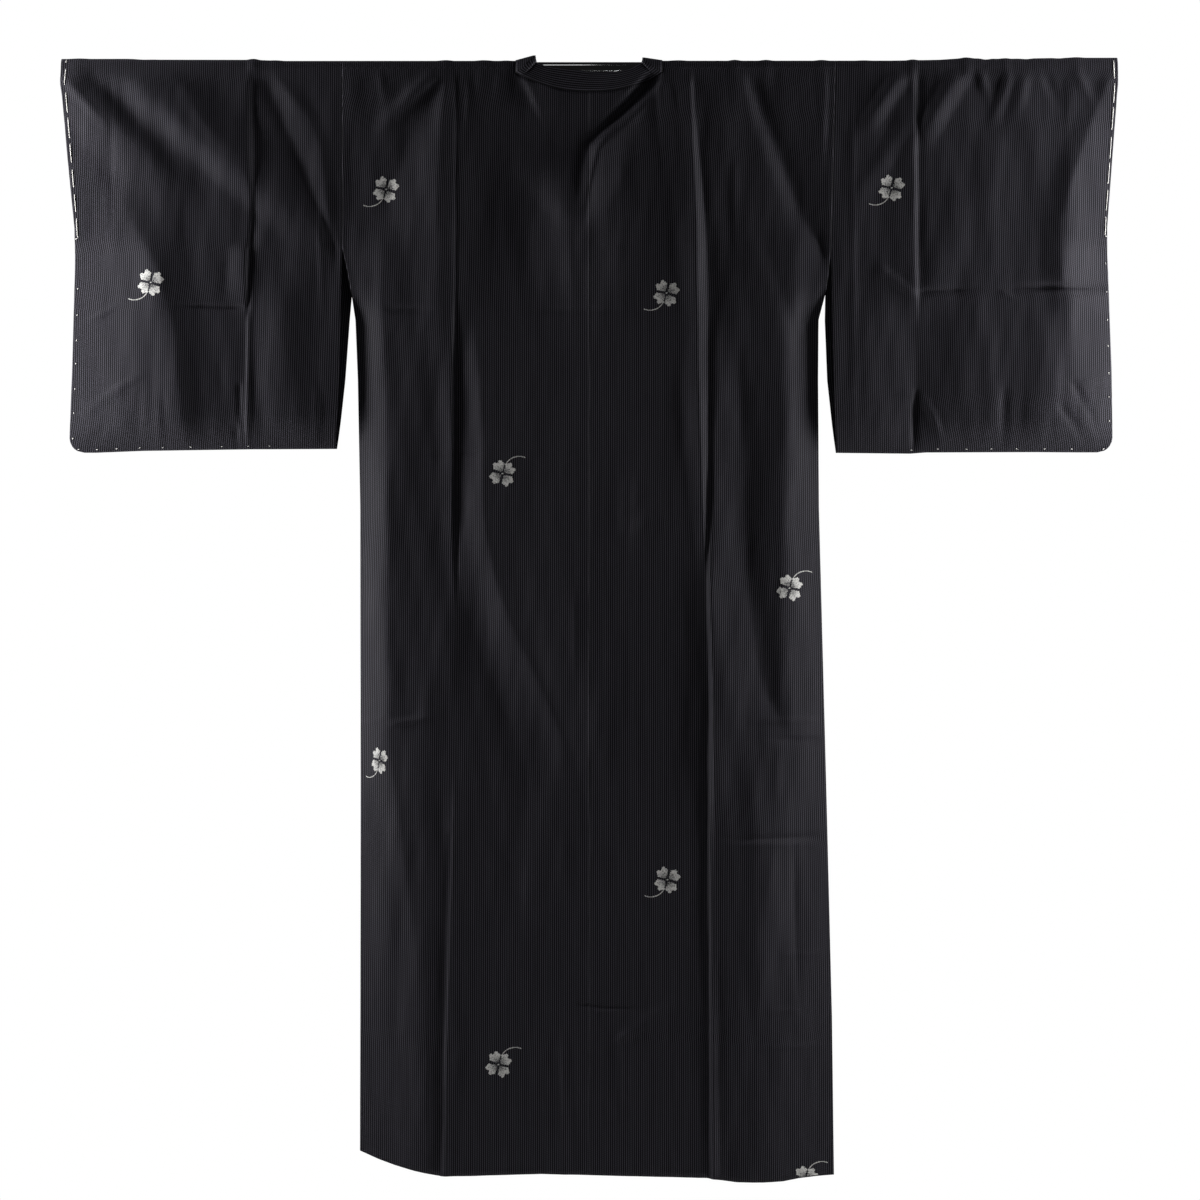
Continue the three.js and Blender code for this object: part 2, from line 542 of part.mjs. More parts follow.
// The plain round rod that carries the coat.
function rod() {
  const half = ROD_LENGTH / 2;
  const profile = [
    new THREE.Vector2(0, -half),
    new THREE.Vector2(ROD_RADIUS - ROD_CHAMFER, -half),
    new THREE.Vector2(ROD_RADIUS, -half + ROD_CHAMFER),
    new THREE.Vector2(ROD_RADIUS, half - ROD_CHAMFER),
    new THREE.Vector2(ROD_RADIUS - ROD_CHAMFER, half),
    new THREE.Vector2(0, half),
  ];
  return new THREE.LatheGeometry(profile, ROD_SIDES).rotateZ(-Math.PI / 2);
}

// ---- The coat on its rod ----------------------------------------------------------------------
const group = new THREE.Group();

function add(name, geometry, finish) {
  const mesh = new THREE.Mesh(geometry, new THREE.MeshStandardMaterial(finish));
  mesh.name = name;
  group.add(mesh);
}

const cloth = { color: 0x1b1a1e, roughness: 0.8, metalness: 0 };
add('rod', rod(), { color: 0xd4d6d9, roughness: 0.12, metalness: 1 });
for (const half of ['left', 'right']) {
  add(`body_${half}`, bodyHalf(half), cloth);
  add(`sleeve_${half}`, sleeve(half), cloth);
  add(`overlap_${half}`, overlap(half), cloth);
}
add('neckband', neckband(), cloth);

export default group;
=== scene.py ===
# %% [markdown]
# # A kimono coat on its rod
# A woman's kimono coat hangs by its shoulders and sleeves from a polished rod, and we see its
# back. The real coat is cut from one narrow bolt of cloth: two long body lengths that run from
# the back hem over the shoulders to the front hem, two sleeves, two panels that overlap in
# front and a narrow neckband. We could sculpt it, or simulate it, but a coat that hangs flat
# over a rod is easier to describe than to simulate: one function says where any spot of the
# cloth hangs, and every piece is a fine grid of such spots. The frame holds the same pieces as
# plain solids, so we only have to stay on them.

# %% Load the frame
import math
import bpy
import numpy as np
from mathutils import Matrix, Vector


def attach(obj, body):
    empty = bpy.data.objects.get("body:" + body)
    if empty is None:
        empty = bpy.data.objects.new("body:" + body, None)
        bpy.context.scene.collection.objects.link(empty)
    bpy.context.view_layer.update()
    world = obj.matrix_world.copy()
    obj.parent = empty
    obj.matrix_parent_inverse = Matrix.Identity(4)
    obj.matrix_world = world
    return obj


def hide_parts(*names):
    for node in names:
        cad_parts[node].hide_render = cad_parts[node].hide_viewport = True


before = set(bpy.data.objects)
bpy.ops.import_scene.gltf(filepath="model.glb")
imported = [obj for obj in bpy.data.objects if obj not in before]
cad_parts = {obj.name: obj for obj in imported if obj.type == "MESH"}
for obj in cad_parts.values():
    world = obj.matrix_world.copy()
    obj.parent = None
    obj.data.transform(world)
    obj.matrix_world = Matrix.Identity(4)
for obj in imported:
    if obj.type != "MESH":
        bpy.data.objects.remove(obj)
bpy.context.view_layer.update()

print("frame nodes:", sorted(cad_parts))

# %% [markdown]
# ## Sizes of the coat
# A tailor works from a short list of sizes, so we do too. They are in millimetres, and turned
# into Blender's metres only when a mesh is made. x runs along the rod, and a drop is measured
# straight down from the top of the fold over the rod.

# %% Sizes in millimetres
MM = 0.001
WALL = 1.2                 # the cloth with its turnings
SEAM_GAP = 0.3             # air along each seam of the frame's solids
STITCHED = 0.03            # and of the cloths here, which are sewn edge to edge
ROD_RADIUS = 10.0
ROD_LENGTH = 1300.0
BODY_LENGTH = 1400.0
ARMHOLE = 235.0            # end of the seam between sleeve and body
SIDE_SLIT_END = 330.0      # end of the open slit below it
CUFF_OPENING = 222.0
SLEEVE_DROP = 490.0
SLEEVE_CORNER = 19.0       # radius of the sleeve's lower outer corner
NECK_HALF = 92.0
NECK_DEPTH = 175.0
NECK_BACK = 40.0           # drop of the neckline at the centre back
NECK_TOP = 16.0            # drop of the neckline where it turns over the shoulder
BAND_WIDTH = 25.0
BAND_WALL = 2.0
OVERLAP_REACH = 180.0
OVERLAP_STEP = 2.4
CUFF_ROLL = (110.0, 70.0)  # the sleeves open out from their outer edges in these widths
BOTTOM_ROLL = 40.0
ARMHOLE_OUT = 309.0        # here the stripes go on from the body to the sleeve
SLEEVES_FROM = 320.0       # whatever lies further out is sleeve
HEM_FROM = 1100.0          # the rows bend towards the uneven hem from this drop on
HALVES = (("left", -1), ("right", 1))
FACES = (("back", -1), ("front", 1))

FOLD_RADIUS = ROD_RADIUS + SEAM_GAP + WALL / 2
TOP = FOLD_RADIUS + WALL / 2
QUARTER = FOLD_RADIUS * math.pi / 2
SEWN = (SEAM_GAP + WALL) / 2
print(f"cloth middle over the rod: radius {FOLD_RADIUS:.1f} mm, top at z = {TOP:.1f} mm")

# %% [markdown]
# ## The outline as small tables
# Hand-sewn cloth never hangs in straight lines: the cuffs lean in, the skirt widens to the
# right and one hem corner curls away. Each edge is a table with named columns, one row for each
# section, and we read between the rows.

# %% Outline tables
def table(columns, *rows):
    """Named columns from rows of numbers."""
    return dict(zip(columns.split(), np.array(rows, float).T))


SIDE_EDGE = table(
    "drop left right", (0, 309, 309), (235, 309, 303), (262, 303, 300.5), (290, 298, 297),
    (325, 293, 288), (400, 290, 287.5), (560, 287, 288.5), (900, 286.5, 297.5), (1200, 287, 305),
    (1400, 287.5, 307.5))
SLEEVE_INNER_BACK = table(
    "drop left right", (0, 309, 309), (235, 309, 303), (413, 314, 307.5), (490, 318, 310))
SLEEVE_INNER_FRONT = table(
    "drop left right", (0, 309, 309), (235, 309, 303), (262, 303.3, 300.8), (290, 298.4, 297.6),
    (325, 301.5, 297), (400, 307, 300), (490, 316.5, 310))
CUFF_EDGE = table(
    "drop left right", (0, 662, 663), (30, 662, 663), (44, 660, 661.5), (112, 655, 657),
    (212, 645, 649.5), (262, 645.5, 651.5), (388, 649, 656), (490, 653, 657.5))
SLEEVE_BOTTOM = table(
    "out left right", (310, 487, 492), (403, 487.5, 493), (423, 487.5, 491.5), (560, 489.5, 491),
    (620, 492, 491.5), (650, 492, 491.5))
HEM = table(
    "out left right", (0, 1396.5, 1396.5), (60, 1395, 1398), (145, 1397.5, 1400),
    (185, 1398, 1405.5), (218, 1391.5, 1406), (243, 1385, 1405), (264, 1378, 1401.5),
    (287, 1368.5, 1399.5), (307, 1362, 1398.5))
# how far the folded top of the sleeves stands off the rod
TOP_RISE = table(
    "x rise", (-663, 2.5), (-580, 2.7), (-540, 1.6), (-423, 1.4), (-380, 0), (380, 0.4), (440, 1.5),
    (470, 3.6), (520, 2.6), (600, 4.1), (664, 4.1))
# small folds that start on the rod
TOP_BUMPS = table(
    "x wide high", (-640, 16, 0.6), (-560, 14, -0.5), (-421, 10, 1.3), (-392, 9, 0.4),
    (-180, 12, 0.9), (-132, 14, 0.8), (-104, 8, 0.4), (112, 14, 0.6), (183, 9, 1.2), (222, 10, 1.1),
    (292, 11, 0.9), (345, 12, 0.4), (406, 9, 1.0), (474, 10, 1.0), (498, 9, -1.2), (522, 9, 0.9),
    (549, 10, -0.8), (590, 10, -0.6), (612, 12, 0.7))
# the body opens out from its side seams in these widths
SIDE_ROLL = table(
    "drop left right", (0, 36, 46), (560, 36, 47), (860, 38, 58), (1000, 56, 72), (1200, 80, 92),
    (1400, 86, 102))
BODY_ROOM = table("drop room", (11.5, FOLD_RADIUS), (60, 15), (235, 18), (400, 20))
SLEEVE_ROOM = table("drop room", (11.5, FOLD_RADIUS), (60, 14), (235, 16))
BODY_CREASE = table(
    "drop left right", (0, 167, 129), (660, 167, 148), (920, 171, 158), (1400, 180, 160))
SLEEVE_CREASE = table("drop left right", (0, 423, 407), (490, 430, 411))


print("the hem is read from", len(HEM["out"]), "rows")

# %% Read between the rows
def read(rows, column, at):
    """The column's value, straight between rows, at places along the first column."""
    return np.interp(at, next(iter(rows.values())), rows[column])


def read_half(rows, at, x):
    """The same from the left or the right column, by the sign of x."""
    return np.where(x < 0, read(rows, "left", at), read(rows, "right", at))


def neckline(out):
    """Drop of the curved back neckline at a distance from the centre."""
    return NECK_BACK - (NECK_BACK - NECK_TOP) * (np.abs(out) / NECK_HALF) ** 2.2


def mix(a, b, t):
    """A value between a and b."""
    return a + (b - a) * t


def smooth(low, high, value):
    """0 below low, 1 above high and a soft step between."""
    t = np.clip((value - low) / (high - low), 0, 1)
    return t * t * (3 - 2 * t)


print("half width of the body at the slit:", read(SIDE_EDGE, "left", 290), "mm")

# %% [markdown]
# ## Folds, placed one by one
# The coat was stored flat in a drawer, so sharp creases run down it and across it, and it hangs
# from one straight line, so folds fan out from the shoulders and the neck. Noise would scatter
# wrinkles evenly, which looks like crumpled paper. Tables of listed ridges and troughs put
# each fold where the cloth is really pulled. A soft fold is one row: a line from (x1, drop1) to
# (x2, drop2) that bows sideways, its widths to the left and the right of the line, and its
# height. A long crease or drape bends more than once, so it gets a small table of its own,
# which tells where its edge is at each drop.

# %% Soft folds on the back
FOLD_COLUMNS = "x1 drop1 x2 drop2 bow left right high"
BODY_BACK_FOLDS = table(
    FOLD_COLUMNS,
    # fans from the left shoulder
    (-150, -19, -276, 104, -5, 12, 15, 6.5), (-270, -16, -254, 60, 0, 6, 8, 2.2),
    (-136, -20, -137, 52, 0, 7, 7, 1.6), (-106, -20, -120, 60, 0, 6, 7, 1.6),
    (-157, 4, -158, 110, 0, 6, 6, 1.6),
    # and from the right one
    (262, -6, 278, 34, 0, 6, 7, 1.8), (228, -14, 240, 48, 0, 9, 9, -2),
    (296, 0, 292, 160, 0, 8, 6, 1.6),
    # the neck: a thin lit fold on the left, a deep one on the right, and the sag between them
    (-96, -2, -48, 98, 3, 5, 34, 4.4), (100, -6, -16, 116, 7, 13, 15, -13),
    (100, -14, 120, 70, 0, 8, 20, 1.6), (84, -20, 96, 170, 3, 8, 20, 2.4),
    (-92, 116, 10, 226, -2, 24, 40, 2.6), (56, 120, 62, 270, 0, 22, 16, 1.4),
    (108, 30, 124, 320, 0, 16, 30, 1.6),
    # soft waves of the hanging cloth
    (200, 220, 262, 420, 4, 26, 18, 2.2), (182, 116, 184, 260, 0, 5, 5, 1.2),
    (52, 500, 44, 660, 0, 14, 10, 1.6), (30, 600, 128, 520, 4, 12, 10, 1.2),
    (-16, 660, -18, 800, 0, 6, 4, -1), (-60, 900, -44, 1180, -6, 34, 40, 2.6),
    (-116, 850, -92, 1020, 0, 20, 14, 1.6), (-255, 1000, -262, 1360, 0, 26, 22, 2.2),
    (-32, 1200, -30, 1480, 0, 7, 8, 1.6), (-18, 1200, -16, 1300, 0, 6, 6, 1.2),
    (44, 1190, 48, 1400, 0, 10, 12, 1.2), (178, 900, 182, 1400, 0, 20, 26, 2),
    # creases across the coat, where it was folded in four
    (14, 234, 58, 236, 0, 5, 5, -1), (-258, 313, -180, 314, 0, 8, 6, -1.5),
    (-82, 314, 84, 316, 0, 8, 6, -1.2), (-230, 494, 120, 494, 0, 6, 6, -0.8),
    (300, 827, 190, 830, 0, 8, 5, 2.6), (306, 852, 208, 851, 0, 5, 8, -3),
    (-256, 832, -178, 817, -3, 5, 7, 2.4), (312, 973, 140, 976, 0, 5, 5, -3),
    (312, 981, 160, 983, 0, 4, 8, 1.8), (312, 1119, 230, 1122, 0, 6, 8, 1.8),
    (270, 1190, 210, 1192, 0, 5, 6, 1.2), (312, 1234, 200, 1238, 0, 5, 7, 1.6),
    (-20, 1183, 76, 1190, 0, 3.5, 3.5, -2.6), (22, 1236, 122, 1160, -4, 10, 8, 2),
    (-300, 828, -234, 826, 0, 6, 6, 1.4), (-180, 966, -166, 958, 0, 4, 4, 1.2),
    (300, 496, 240, 497, 0, 4, 5, 1.2))
SLEEVE_BACK_FOLDS = table(
    FOLD_COLUMNS,
    # left sleeve: the long diagonals from the cuff's top
    (-620, -20, -290, 258, -2, 37, 60, 9.4), (-682, -12, -470, 208, -2, 52, 26, 7.4),
    (-664, 14, -590, 98, 0, 9, 8, 2.4), (-566, -10, -456, 76, 2, 9, 9, 1.6),
    (-520, 24, -430, 140, 0, 16, 14, 1.8), (-598, 0, -597, 260, 0, 7, 4, -0.8),
    # its small breaks at the crease, and at the bottom
    (-430, 224, -430, 330, 0, 25, 3, 3.8), (-396, 258, -352, 620, 0, 43, 44, 5.2),
    (-420, 311, -540, 309, 0, 5, 6, -2.8), (-438, 400, -437, 466, 0, 5, 5, -1.6),
    (-443, 452, -440, 530, 0, 6, 6, -2.6), (-654, 336, -580, 302, -2, 7, 6, 2.6),
    (-644, 452, -544, 386, 3, 9, 9, 2.2), (-632, 488, -596, 448, 0, 8, 8, -2.2),
    (-546, 380, -548, 530, 0, 8, 9, -0.6), (-532, 410, -529, 530, 0, 6, 6, -0.8),
    (-466, 370, -454, 440, 0, 9, 9, -0.6), (-514, 150, -518, 290, 0, 12, 9, 0.6),
    (-338, 170, -333, 350, 0, 5, 5, 1.4), (-342, 400, -340, 560, 0, 6, 5, 1.8),
    # right sleeve: short fans from the rod
    (414, -18, 326, 112, 0, 13, 18, 5.4), (404, 66, 328, 190, 0, 16, 18, 2.4),
    (480, -24, 392, 132, 4, 16, 22, 6), (424, -12, 448, 38, 0, 6, 7, 3),
    (480, -14, 504, 60, 0, 7, 8, 3), (534, -18, 496, 96, 4, 8, 14, 3.6),
    (550, 0, 528, 92, 0, 15, 13, 2.6), (560, -16, 594, 76, 0, 9, 9, -1.8),
    (600, -10, 640, 80, 0, 7, 11, 1.8), (500, 80, 488, 250, 6, 26, 26, 2.8),
    (476, 140, 418, 330, 8, 30, 30, 2.4), (566, 50, 556, 290, 0, 24, 22, 1.4),
    (599, -30, 598, 420, 0, 3.5, 30, 1), (330, -20, 332, 600, 0, 4, 5, 1.2),
    # its crease across, and the breaks below
    (402, 292, 506, 287, 0, 8, 6, -2.8), (690, 285, 500, 286, 0, 5, 7, -7),
    (664, 296, 560, 302, 0, 5, 30, 3), (358, 258, 416, 302, 0, 8, 9, 3.6),
    (512, 290, 544, 304, 0, 6, 5, 1.4), (520, 396, 519, 570, 0, 8, 10, -1.9),
    (504, 320, 500, 540, 0, 16, 12, 0.8), (600, 396, 652, 484, 0, 6, 9, -2),
    (584, 426, 642, 500, 0, 7, 8, -2.2), (664, 400, 596, 405, 0, 5, 7, 1.6),
    (404, 419, 310, 417, 0, 5, 8, -1.6), (414, 416, 450, 510, 4, 6, 8, 3),
    (564, 300, 566, 520, 0, 26, 30, 2))
print("soft folds on the back:", len(BODY_BACK_FOLDS["x1"]) + len(SLEEVE_BACK_FOLDS["x1"]))

# %% Long creases and drapes on the back
LONG_COLUMNS = "drop x left right high"


def long_tables(*folds):
    """A table for each long fold, from its rows."""
    return [table(LONG_COLUMNS, *rows) for rows in folds]


BODY_BACK_LONG = long_tables(
    # the left half's pressed crease, first a groove and then a ridge
    [(-60, -166, 5, 4, -0.6), (200, -166, 5, 4, -1.1), (330, -167, 4, 4, -1.5),
     (560, -166, 4, 4, -1.7), (640, -165, 4, 4, -1.2), (690, -164, 5, 4, 0)],
    [(860, -168, 3, 8, 0), (960, -169, 3.5, 10, 1.2), (1100, -173, 4, 12, 2),
     (1240, -177, 5, 14, 2.6), (1500, -181, 6, 14, 3)],
    [(960, -176, 10, 4, 0), (1100, -180, 10, 4, -1), (1500, -189, 12, 5, -1.6)],
    # the fan that spreads from the left shoulder
    [(8, -177, 6, 16, 0), (40, -180, 14, 34, 4), (80, -183, 33, 54, 8), (120, -185, 48, 64, 11),
     (160, -187, 64, 70, 12.4), (200, -188, 80, 70, 12.4), (260, -188, 92, 66, 8.6),
     (330, -186, 80, 60, 3.4), (380, -184, 60, 50, 0)],
    # left of the crease the cloth leans to the left, and further out it is hollow
    [(300, -172, 24, 6, 0), (350, -172, 28, 6, 3.4), (430, -172, 28, 6, 5), (500, -171, 20, 6, 4.4),
     (570, -171, 16, 6, 2.8), (660, -171, 12, 6, 0)],
    [(205, -264, 34, 50, 0), (245, -262, 38, 50, 4.4), (300, -259, 34, 56, 4.4),
     (350, -256, 46, 84, 3.2), (800, -254, 46, 84, 3.2), (950, -250, 46, 84, 0)],
    # the great drape, from the crease slantwise to the middle
    [(290, -142, 23, 100, 0), (340, -141, 25, 110, 4), (400, -135, 30, 120, 7.4),
     (560, -130, 36, 120, 9.6), (600, -125, 42, 110, 10.6), (640, -117, 48, 105, 11.6),
     (680, -105, 52, 100, 12.4), (720, -89, 56, 95, 12.6), (760, -70, 60, 85, 12),
     (810, -46, 64, 70, 10.4), (860, -26, 66, 56, 7), (940, -2, 66, 44, 3), (1040, 22, 60, 40, 0)],
    [(600, -170, 50, 40, 0), (700, -169, 60, 62, 2.2), (860, -168, 64, 66, 3),
     (1040, -168, 60, 60, 0)],
    # the left side low down, where it turns away more slowly
    [(760, -204, 50, 22, 0), (940, -204, 60, 20, 2.6), (1200, -204, 50, 18, 2),
     (1500, -206, 50, 18, 2)],
    # the hollow below the neck
    [(112, -24, 50, 50, 0), (150, -24, 52, 70, 9), (200, -22, 56, 88, 13), (260, -20, 56, 88, 12.4),
     (310, -20, 58, 70, 6), (370, -20, 58, 50, 0)],
    # right of the neck's deep fold the cloth leans to the right
    [(16, 92, 6, 4, 0), (30, 80, 8, 9, 2.6), (60, 54, 10, 20, 5.6), (85, 28, 12, 34, 8),
     (110, 11, 14, 44, 9.4), (150, 4, 18, 40, 8.8), (180, -2, 20, 30, 5.6), (216, -8, 18, 14, 0)],
    # the right half's pressed crease: a narrow lit step, and lower down a ridge
    [(-60, 125, 16, 5, 1.6), (60, 127.5, 18, 6, 2.6), (100, 129, 18, 8, 3.6),
     (150, 131, 20, 11, 4.6), (200, 134, 22, 13, 5.4), (300, 135, 24, 15, 6),
     (430, 137, 24, 14, 5.6), (520, 140, 20, 11, 4.8), (600, 143, 14, 8, 3.4),
     (660, 148, 10, 5, 0)],
    [(60, 133, 5, 10, 0), (150, 142, 8, 14, -1.1), (260, 149, 9, 15, -1.2), (430, 150, 9, 7, -0.9),
     (560, 150, 7, 6, -1.2), (620, 150, 5, 5, 0)],
    [(760, 149, 9, 6, 0), (860, 148, 12, 6, -3.4), (980, 146, 12, 6, -3), (1200, 148, 10, 6, -2.6),
     (1500, 150, 8, 6, -2.6)],
    [(840, 151, 4, 7, 0), (960, 152, 4, 8, 2), (1100, 154, 5, 9, 3), (1500, 156, 5, 9, 3.2)],
    # right of it the cloth leans to the right, down into a hollow that drifts outward
    [(360, 156, 8, 44, 0), (440, 156, 8, 44, 0.8), (560, 155, 6, 52, 2), (630, 152, 6, 60, 5),
     (690, 152, 5, 68, 8), (780, 155, 5, 80, 8.6), (900, 157, 6, 86, 6.4), (1040, 159, 7, 84, 3.4),
     (1240, 160, 7, 80, 0)],
    [(330, 188, 30, 56, 0), (420, 190, 34, 60, -5), (551, 194, 40, 56, -6.4),
     (640, 199, 44, 50, -5.4), (720, 205, 48, 44, -4.4), (780, 217, 54, 32, -3.8),
     (815, 234, 60, 18, -2.6), (850, 244, 70, 10, 0)],
    [(860, 208, 26, 44, 0), (980, 206, 22, 54, 4.4), (1100, 208, 20, 56, 3.4),
     (1240, 210, 20, 50, 0)],
    [(960, 255, 5, 8, 0), (1010, 256, 5, 9, -1.5), (1150, 260, 5, 9, -1.5), (1200, 262, 5, 8, 0)],
    # the curved fold from the right shoulder to the sleeve, and the side below it
    [(0, 196, 5, 24, 0), (20, 200, 8, 34, -2.6), (40, 207, 12, 50, -4.4), (60, 215, 16, 66, -5.6),
     (110, 235, 20, 76, -6.6), (160, 254, 20, 60, -6.4), (195, 266, 22, 40, -5.2),
     (232, 292, 40, 12, -3.4), (260, 298, 46, 6, 0)],
    [(200, 266, 60, 34, 0), (245, 261, 60, 36, 5), (300, 256, 56, 38, 5), (350, 252, 50, 36, 3.4),
     (520, 248, 40, 40, 2.4), (700, 248, 34, 44, 1.4), (800, 248, 34, 44, 0)])
SLEEVE_BACK_LONG = long_tables(
    # left sleeve: the pressed crease, and the bright leaning cloth beside it
    [(-60, -421, 9, 50, -4), (60, -421, 9, 60, -5), (120, -419, 9, 56, -4), (180, -419, 6, 30, -3),
     (240, -424, 4, 10, -2.2), (270, -426, 4, 5, -2.2), (300, -426, 5, 5, -2.6),
     (330, -426, 4, 4, 0)],
    [(260, -425, 4, 8, 0), (330, -426, 4, 10, 2), (400, -427, 4, 8, 2.4), (520, -429, 5, 7, 3.2)],
    [(0, -414, 16, 18, 0), (30, -404, 20, 20, -2), (60, -390, 20, 22, -3.2),
     (120, -364, 20, 22, -3.4), (180, -342, 20, 16, -3.4), (235, -318, 16, 6, -2.6),
     (270, -312, 8, 4, 0)],
    [(4, -404, 12, 12, 0), (24, -390, 16, 16, 1.6), (44, -374, 18, 18, 1.8), (70, -352, 20, 16, 2),
     (110, -336, 20, 14, 2.2), (160, -329, 20, 12, 2.2), (220, -325, 18, 12, 1.6),
     (260, -322, 12, 8, 0)],
    # towards the cuff the cloth leans outward in one broad slope
    [(100, -592, 50, 50, 0), (150, -588, 60, 80, 2), (190, -580, 72, 84, 4.4),
     (225, -560, 88, 68, 6.6), (260, -541, 100, 46, 8), (300, -529, 108, 38, 8.4),
     (340, -519, 112, 30, 7.6), (420, -511, 112, 26, 6.6), (520, -503, 112, 26, 6)],
    # right sleeve: a thin lit crease that turns into a hollow below the crease across
    [(-60, 405, 34, 6, 2.2), (120, 406, 34, 6, 2.2), (250, 407, 34, 6, 2.4), (300, 409, 30, 6, 2),
     (340, 410, 20, 6, 0)],
    [(-60, 413, 5, 12, -1.1), (250, 414, 5, 12, -1.1), (290, 414, 5, 14, -0.6),
     (310, 414, 5, 14, 0)],
    [(292, 411, 50, 70, 0), (330, 411, 62, 76, -5.6), (430, 409, 64, 76, -5.6),
     (520, 408, 64, 76, -5.6)],
    [(410, 410, 5, 7, 0), (440, 408, 6, 9, -4.6), (520, 407, 6, 9, -6)],
    # its outer panel leans outward from a pressed line
    [(0, 660, 10, 4, 0), (30, 648, 16, 14, 1.8), (100, 621, 26, 38, 4.8), (160, 601, 30, 54, 7),
     (200, 593, 30, 62, 8.4), (270, 592, 30, 62, 8), (284, 593, 14, 60, 5.4), (292, 600, 24, 56, 2),
     (420, 606, 30, 50, 1), (520, 610, 30, 46, 0)])
print("long ones on the back:", len(BODY_BACK_LONG) + len(SLEEVE_BACK_LONG))

# %% Folds on the front
BODY_FRONT_FOLDS = table(
    FOLD_COLUMNS,
    (-200, 0, -296, 225, -14, 16, 22, 6), (205, 0, 290, 180, 12, 22, 14, 5),
    (-225, 380, -215, 900, 0, 30, 22, -5), (215, 420, 195, 960, 8, 24, 34, 5),
    (-225, 860, -228, 1380, 0, 24, 32, 5), (240, 800, 236, 1300, 0, 28, 20, -4),
    (-290, 316, -96, 314, 0, 6, 6, -1.6), (96, 318, 280, 314, 0, 6, 6, -1.4),
    (-280, 494, -100, 492, 0, 6, 6, -1), (100, 836, 296, 840, 0, 8, 6, 2),
    (-280, 980, -96, 984, 0, 7, 5, -1.6), (-84, 820, 88, 824, 0, 7, 5, -1.5),
    (-80, 1120, 70, 1116, 0, 7, 5, -1.5), (-50, 330, -36, 700, 6, 24, 18, 3),
    (40, 560, 52, 1100, -6, 20, 28, 3), (-20, 900, -26, 1420, 0, 20, 16, 2.5),
    (120, 40, 150, 200, 6, 10, 15, 3), (-116, 30, -140, 180, -6, 15, 10, 3))
BODY_FRONT_LONG = long_tables(
    [(-60, -167, 5, 8, 3), (600, -170, 6, 10, 3.6), (1500, -176, 7, 12, 3.6)],
    [(-60, 129, 8, 5, 3), (600, 142, 10, 6, 3.6), (1500, 158, 12, 7, 3.6)],
    [(360, 186, 34, 44, 0), (520, 190, 36, 46, -5), (760, 206, 46, 34, -5), (900, 232, 60, 18, 0)])
SLEEVE_FRONT_FOLDS = table(
    FOLD_COLUMNS,
    (-600, 0, -345, 260, 12, 24, 18, 6), (590, 0, 370, 230, -10, 18, 24, 6),
    (-540, 200, -520, 440, 0, 26, 18, -4), (530, 180, 512, 430, 0, 18, 26, -4),
    (-640, 306, -320, 310, 0, 6, 6, -1.6), (320, 300, 640, 296, 0, 6, 6, -1.6),
    (-470, 20, -380, 120, 6, 12, 10, 3), (460, 20, 400, 140, -6, 10, 12, 3),
    (-360, 320, -352, 470, 0, 14, 12, 2), (350, 310, 346, 470, 0, 12, 14, 2))
SLEEVE_FRONT_LONG = long_tables(
    [(-60, -423, 5, 8, 3), (520, -430, 6, 10, 3.6)],
    [(-60, 407, 8, 5, 3), (520, 411, 10, 6, 3.6)])


print("soft folds on the front:",
      len(BODY_FRONT_FOLDS["x1"]) + len(SLEEVE_FRONT_FOLDS["x1"]))

# %% How the folds raise the cloth
FADE_IN, FADE_OUT = 0.2, 0.55    # a soft fold rises and fades in these shares of its length
ROUNDING = 0.06                  # share of a long fold's width that rounds its edge
EDGE_POWER = 1.4                 # above 1, the sides of its edge are hollow


def soft(away):
    """Profile of a soft fold, from 1 on its line to 0 at its width."""
    return (1 - away ** 2) ** 2


def crisp(away):
    """Profile of a fold with an edge along its line, a little rounded."""
    fall = np.sqrt(away ** 2 + ROUNDING ** 2) - ROUNDING
    return (1 - fall / (math.sqrt(1 + ROUNDING ** 2) - ROUNDING)) ** EDGE_POWER


def widths_away(side, left, right):
    """Distance from the fold's line as a share of its width on that side, at most 1."""
    return np.clip(np.where(side < 0, -side / left, side / right), 0, 1)


def fold_height(folds, long_folds, x, drop):
    """How far the folds raise the cloth at x and drop."""
    height = np.zeros(np.broadcast(x, drop).shape)
    for x1, drop1, x2, drop2, bow, left, right, high in zip(*folds.values()):
        dx, dz = x2 - x1, drop2 - drop1
        length = math.hypot(dx, dz)
        along = ((x - x1) * dx + (drop - drop1) * dz) / length ** 2
        side = ((x - x1) * dz - (drop - drop1) * dx) / length - 4 * bow * along * (1 - along)
        ends = smooth(0, FADE_IN, along) * smooth(0, FADE_OUT, 1 - along)
        height += high * soft(widths_away(side, left, right)) * ends
    for rows in long_folds:
        line, left, right, high = (read(rows, c, drop) for c in ("x", "left", "right", "high"))
        height += high * crisp(widths_away(x - line, left, right))
    return height


print("folds raise the back 200 mm down by",
      np.round(fold_height(BODY_BACK_FOLDS, BODY_BACK_LONG, -180.0, 200.0), 1), "mm")

# %% [markdown]
# ## How the cloth hangs
# Over the rod the cloth follows a half circle, and below it front and back fall a hand's
# thickness apart and close again where they are sewn. `hang` turns a place on the cloth into a
# point in space. Every piece, stitch and woven leaf asks the same function, so nothing floats
# and nothing sinks in.

# %% Ripples and seams
# the slight unevenness of woven cloth
RIPPLES = table(
    "step_x step_drop turn high", (61, 240, 0.4, 0.30), (38, -170, 1.9, 0.22), (23, 95, 4.0, 0.10),
    (97, 410, 2.6, 0.40), (17, 700, 1.1, 0.05))
CALM = 12.0                # folds fade out so near a seam
SEAM_DENT = (0.35, 3.0)    # depth and half width of the dent along the centre back seam


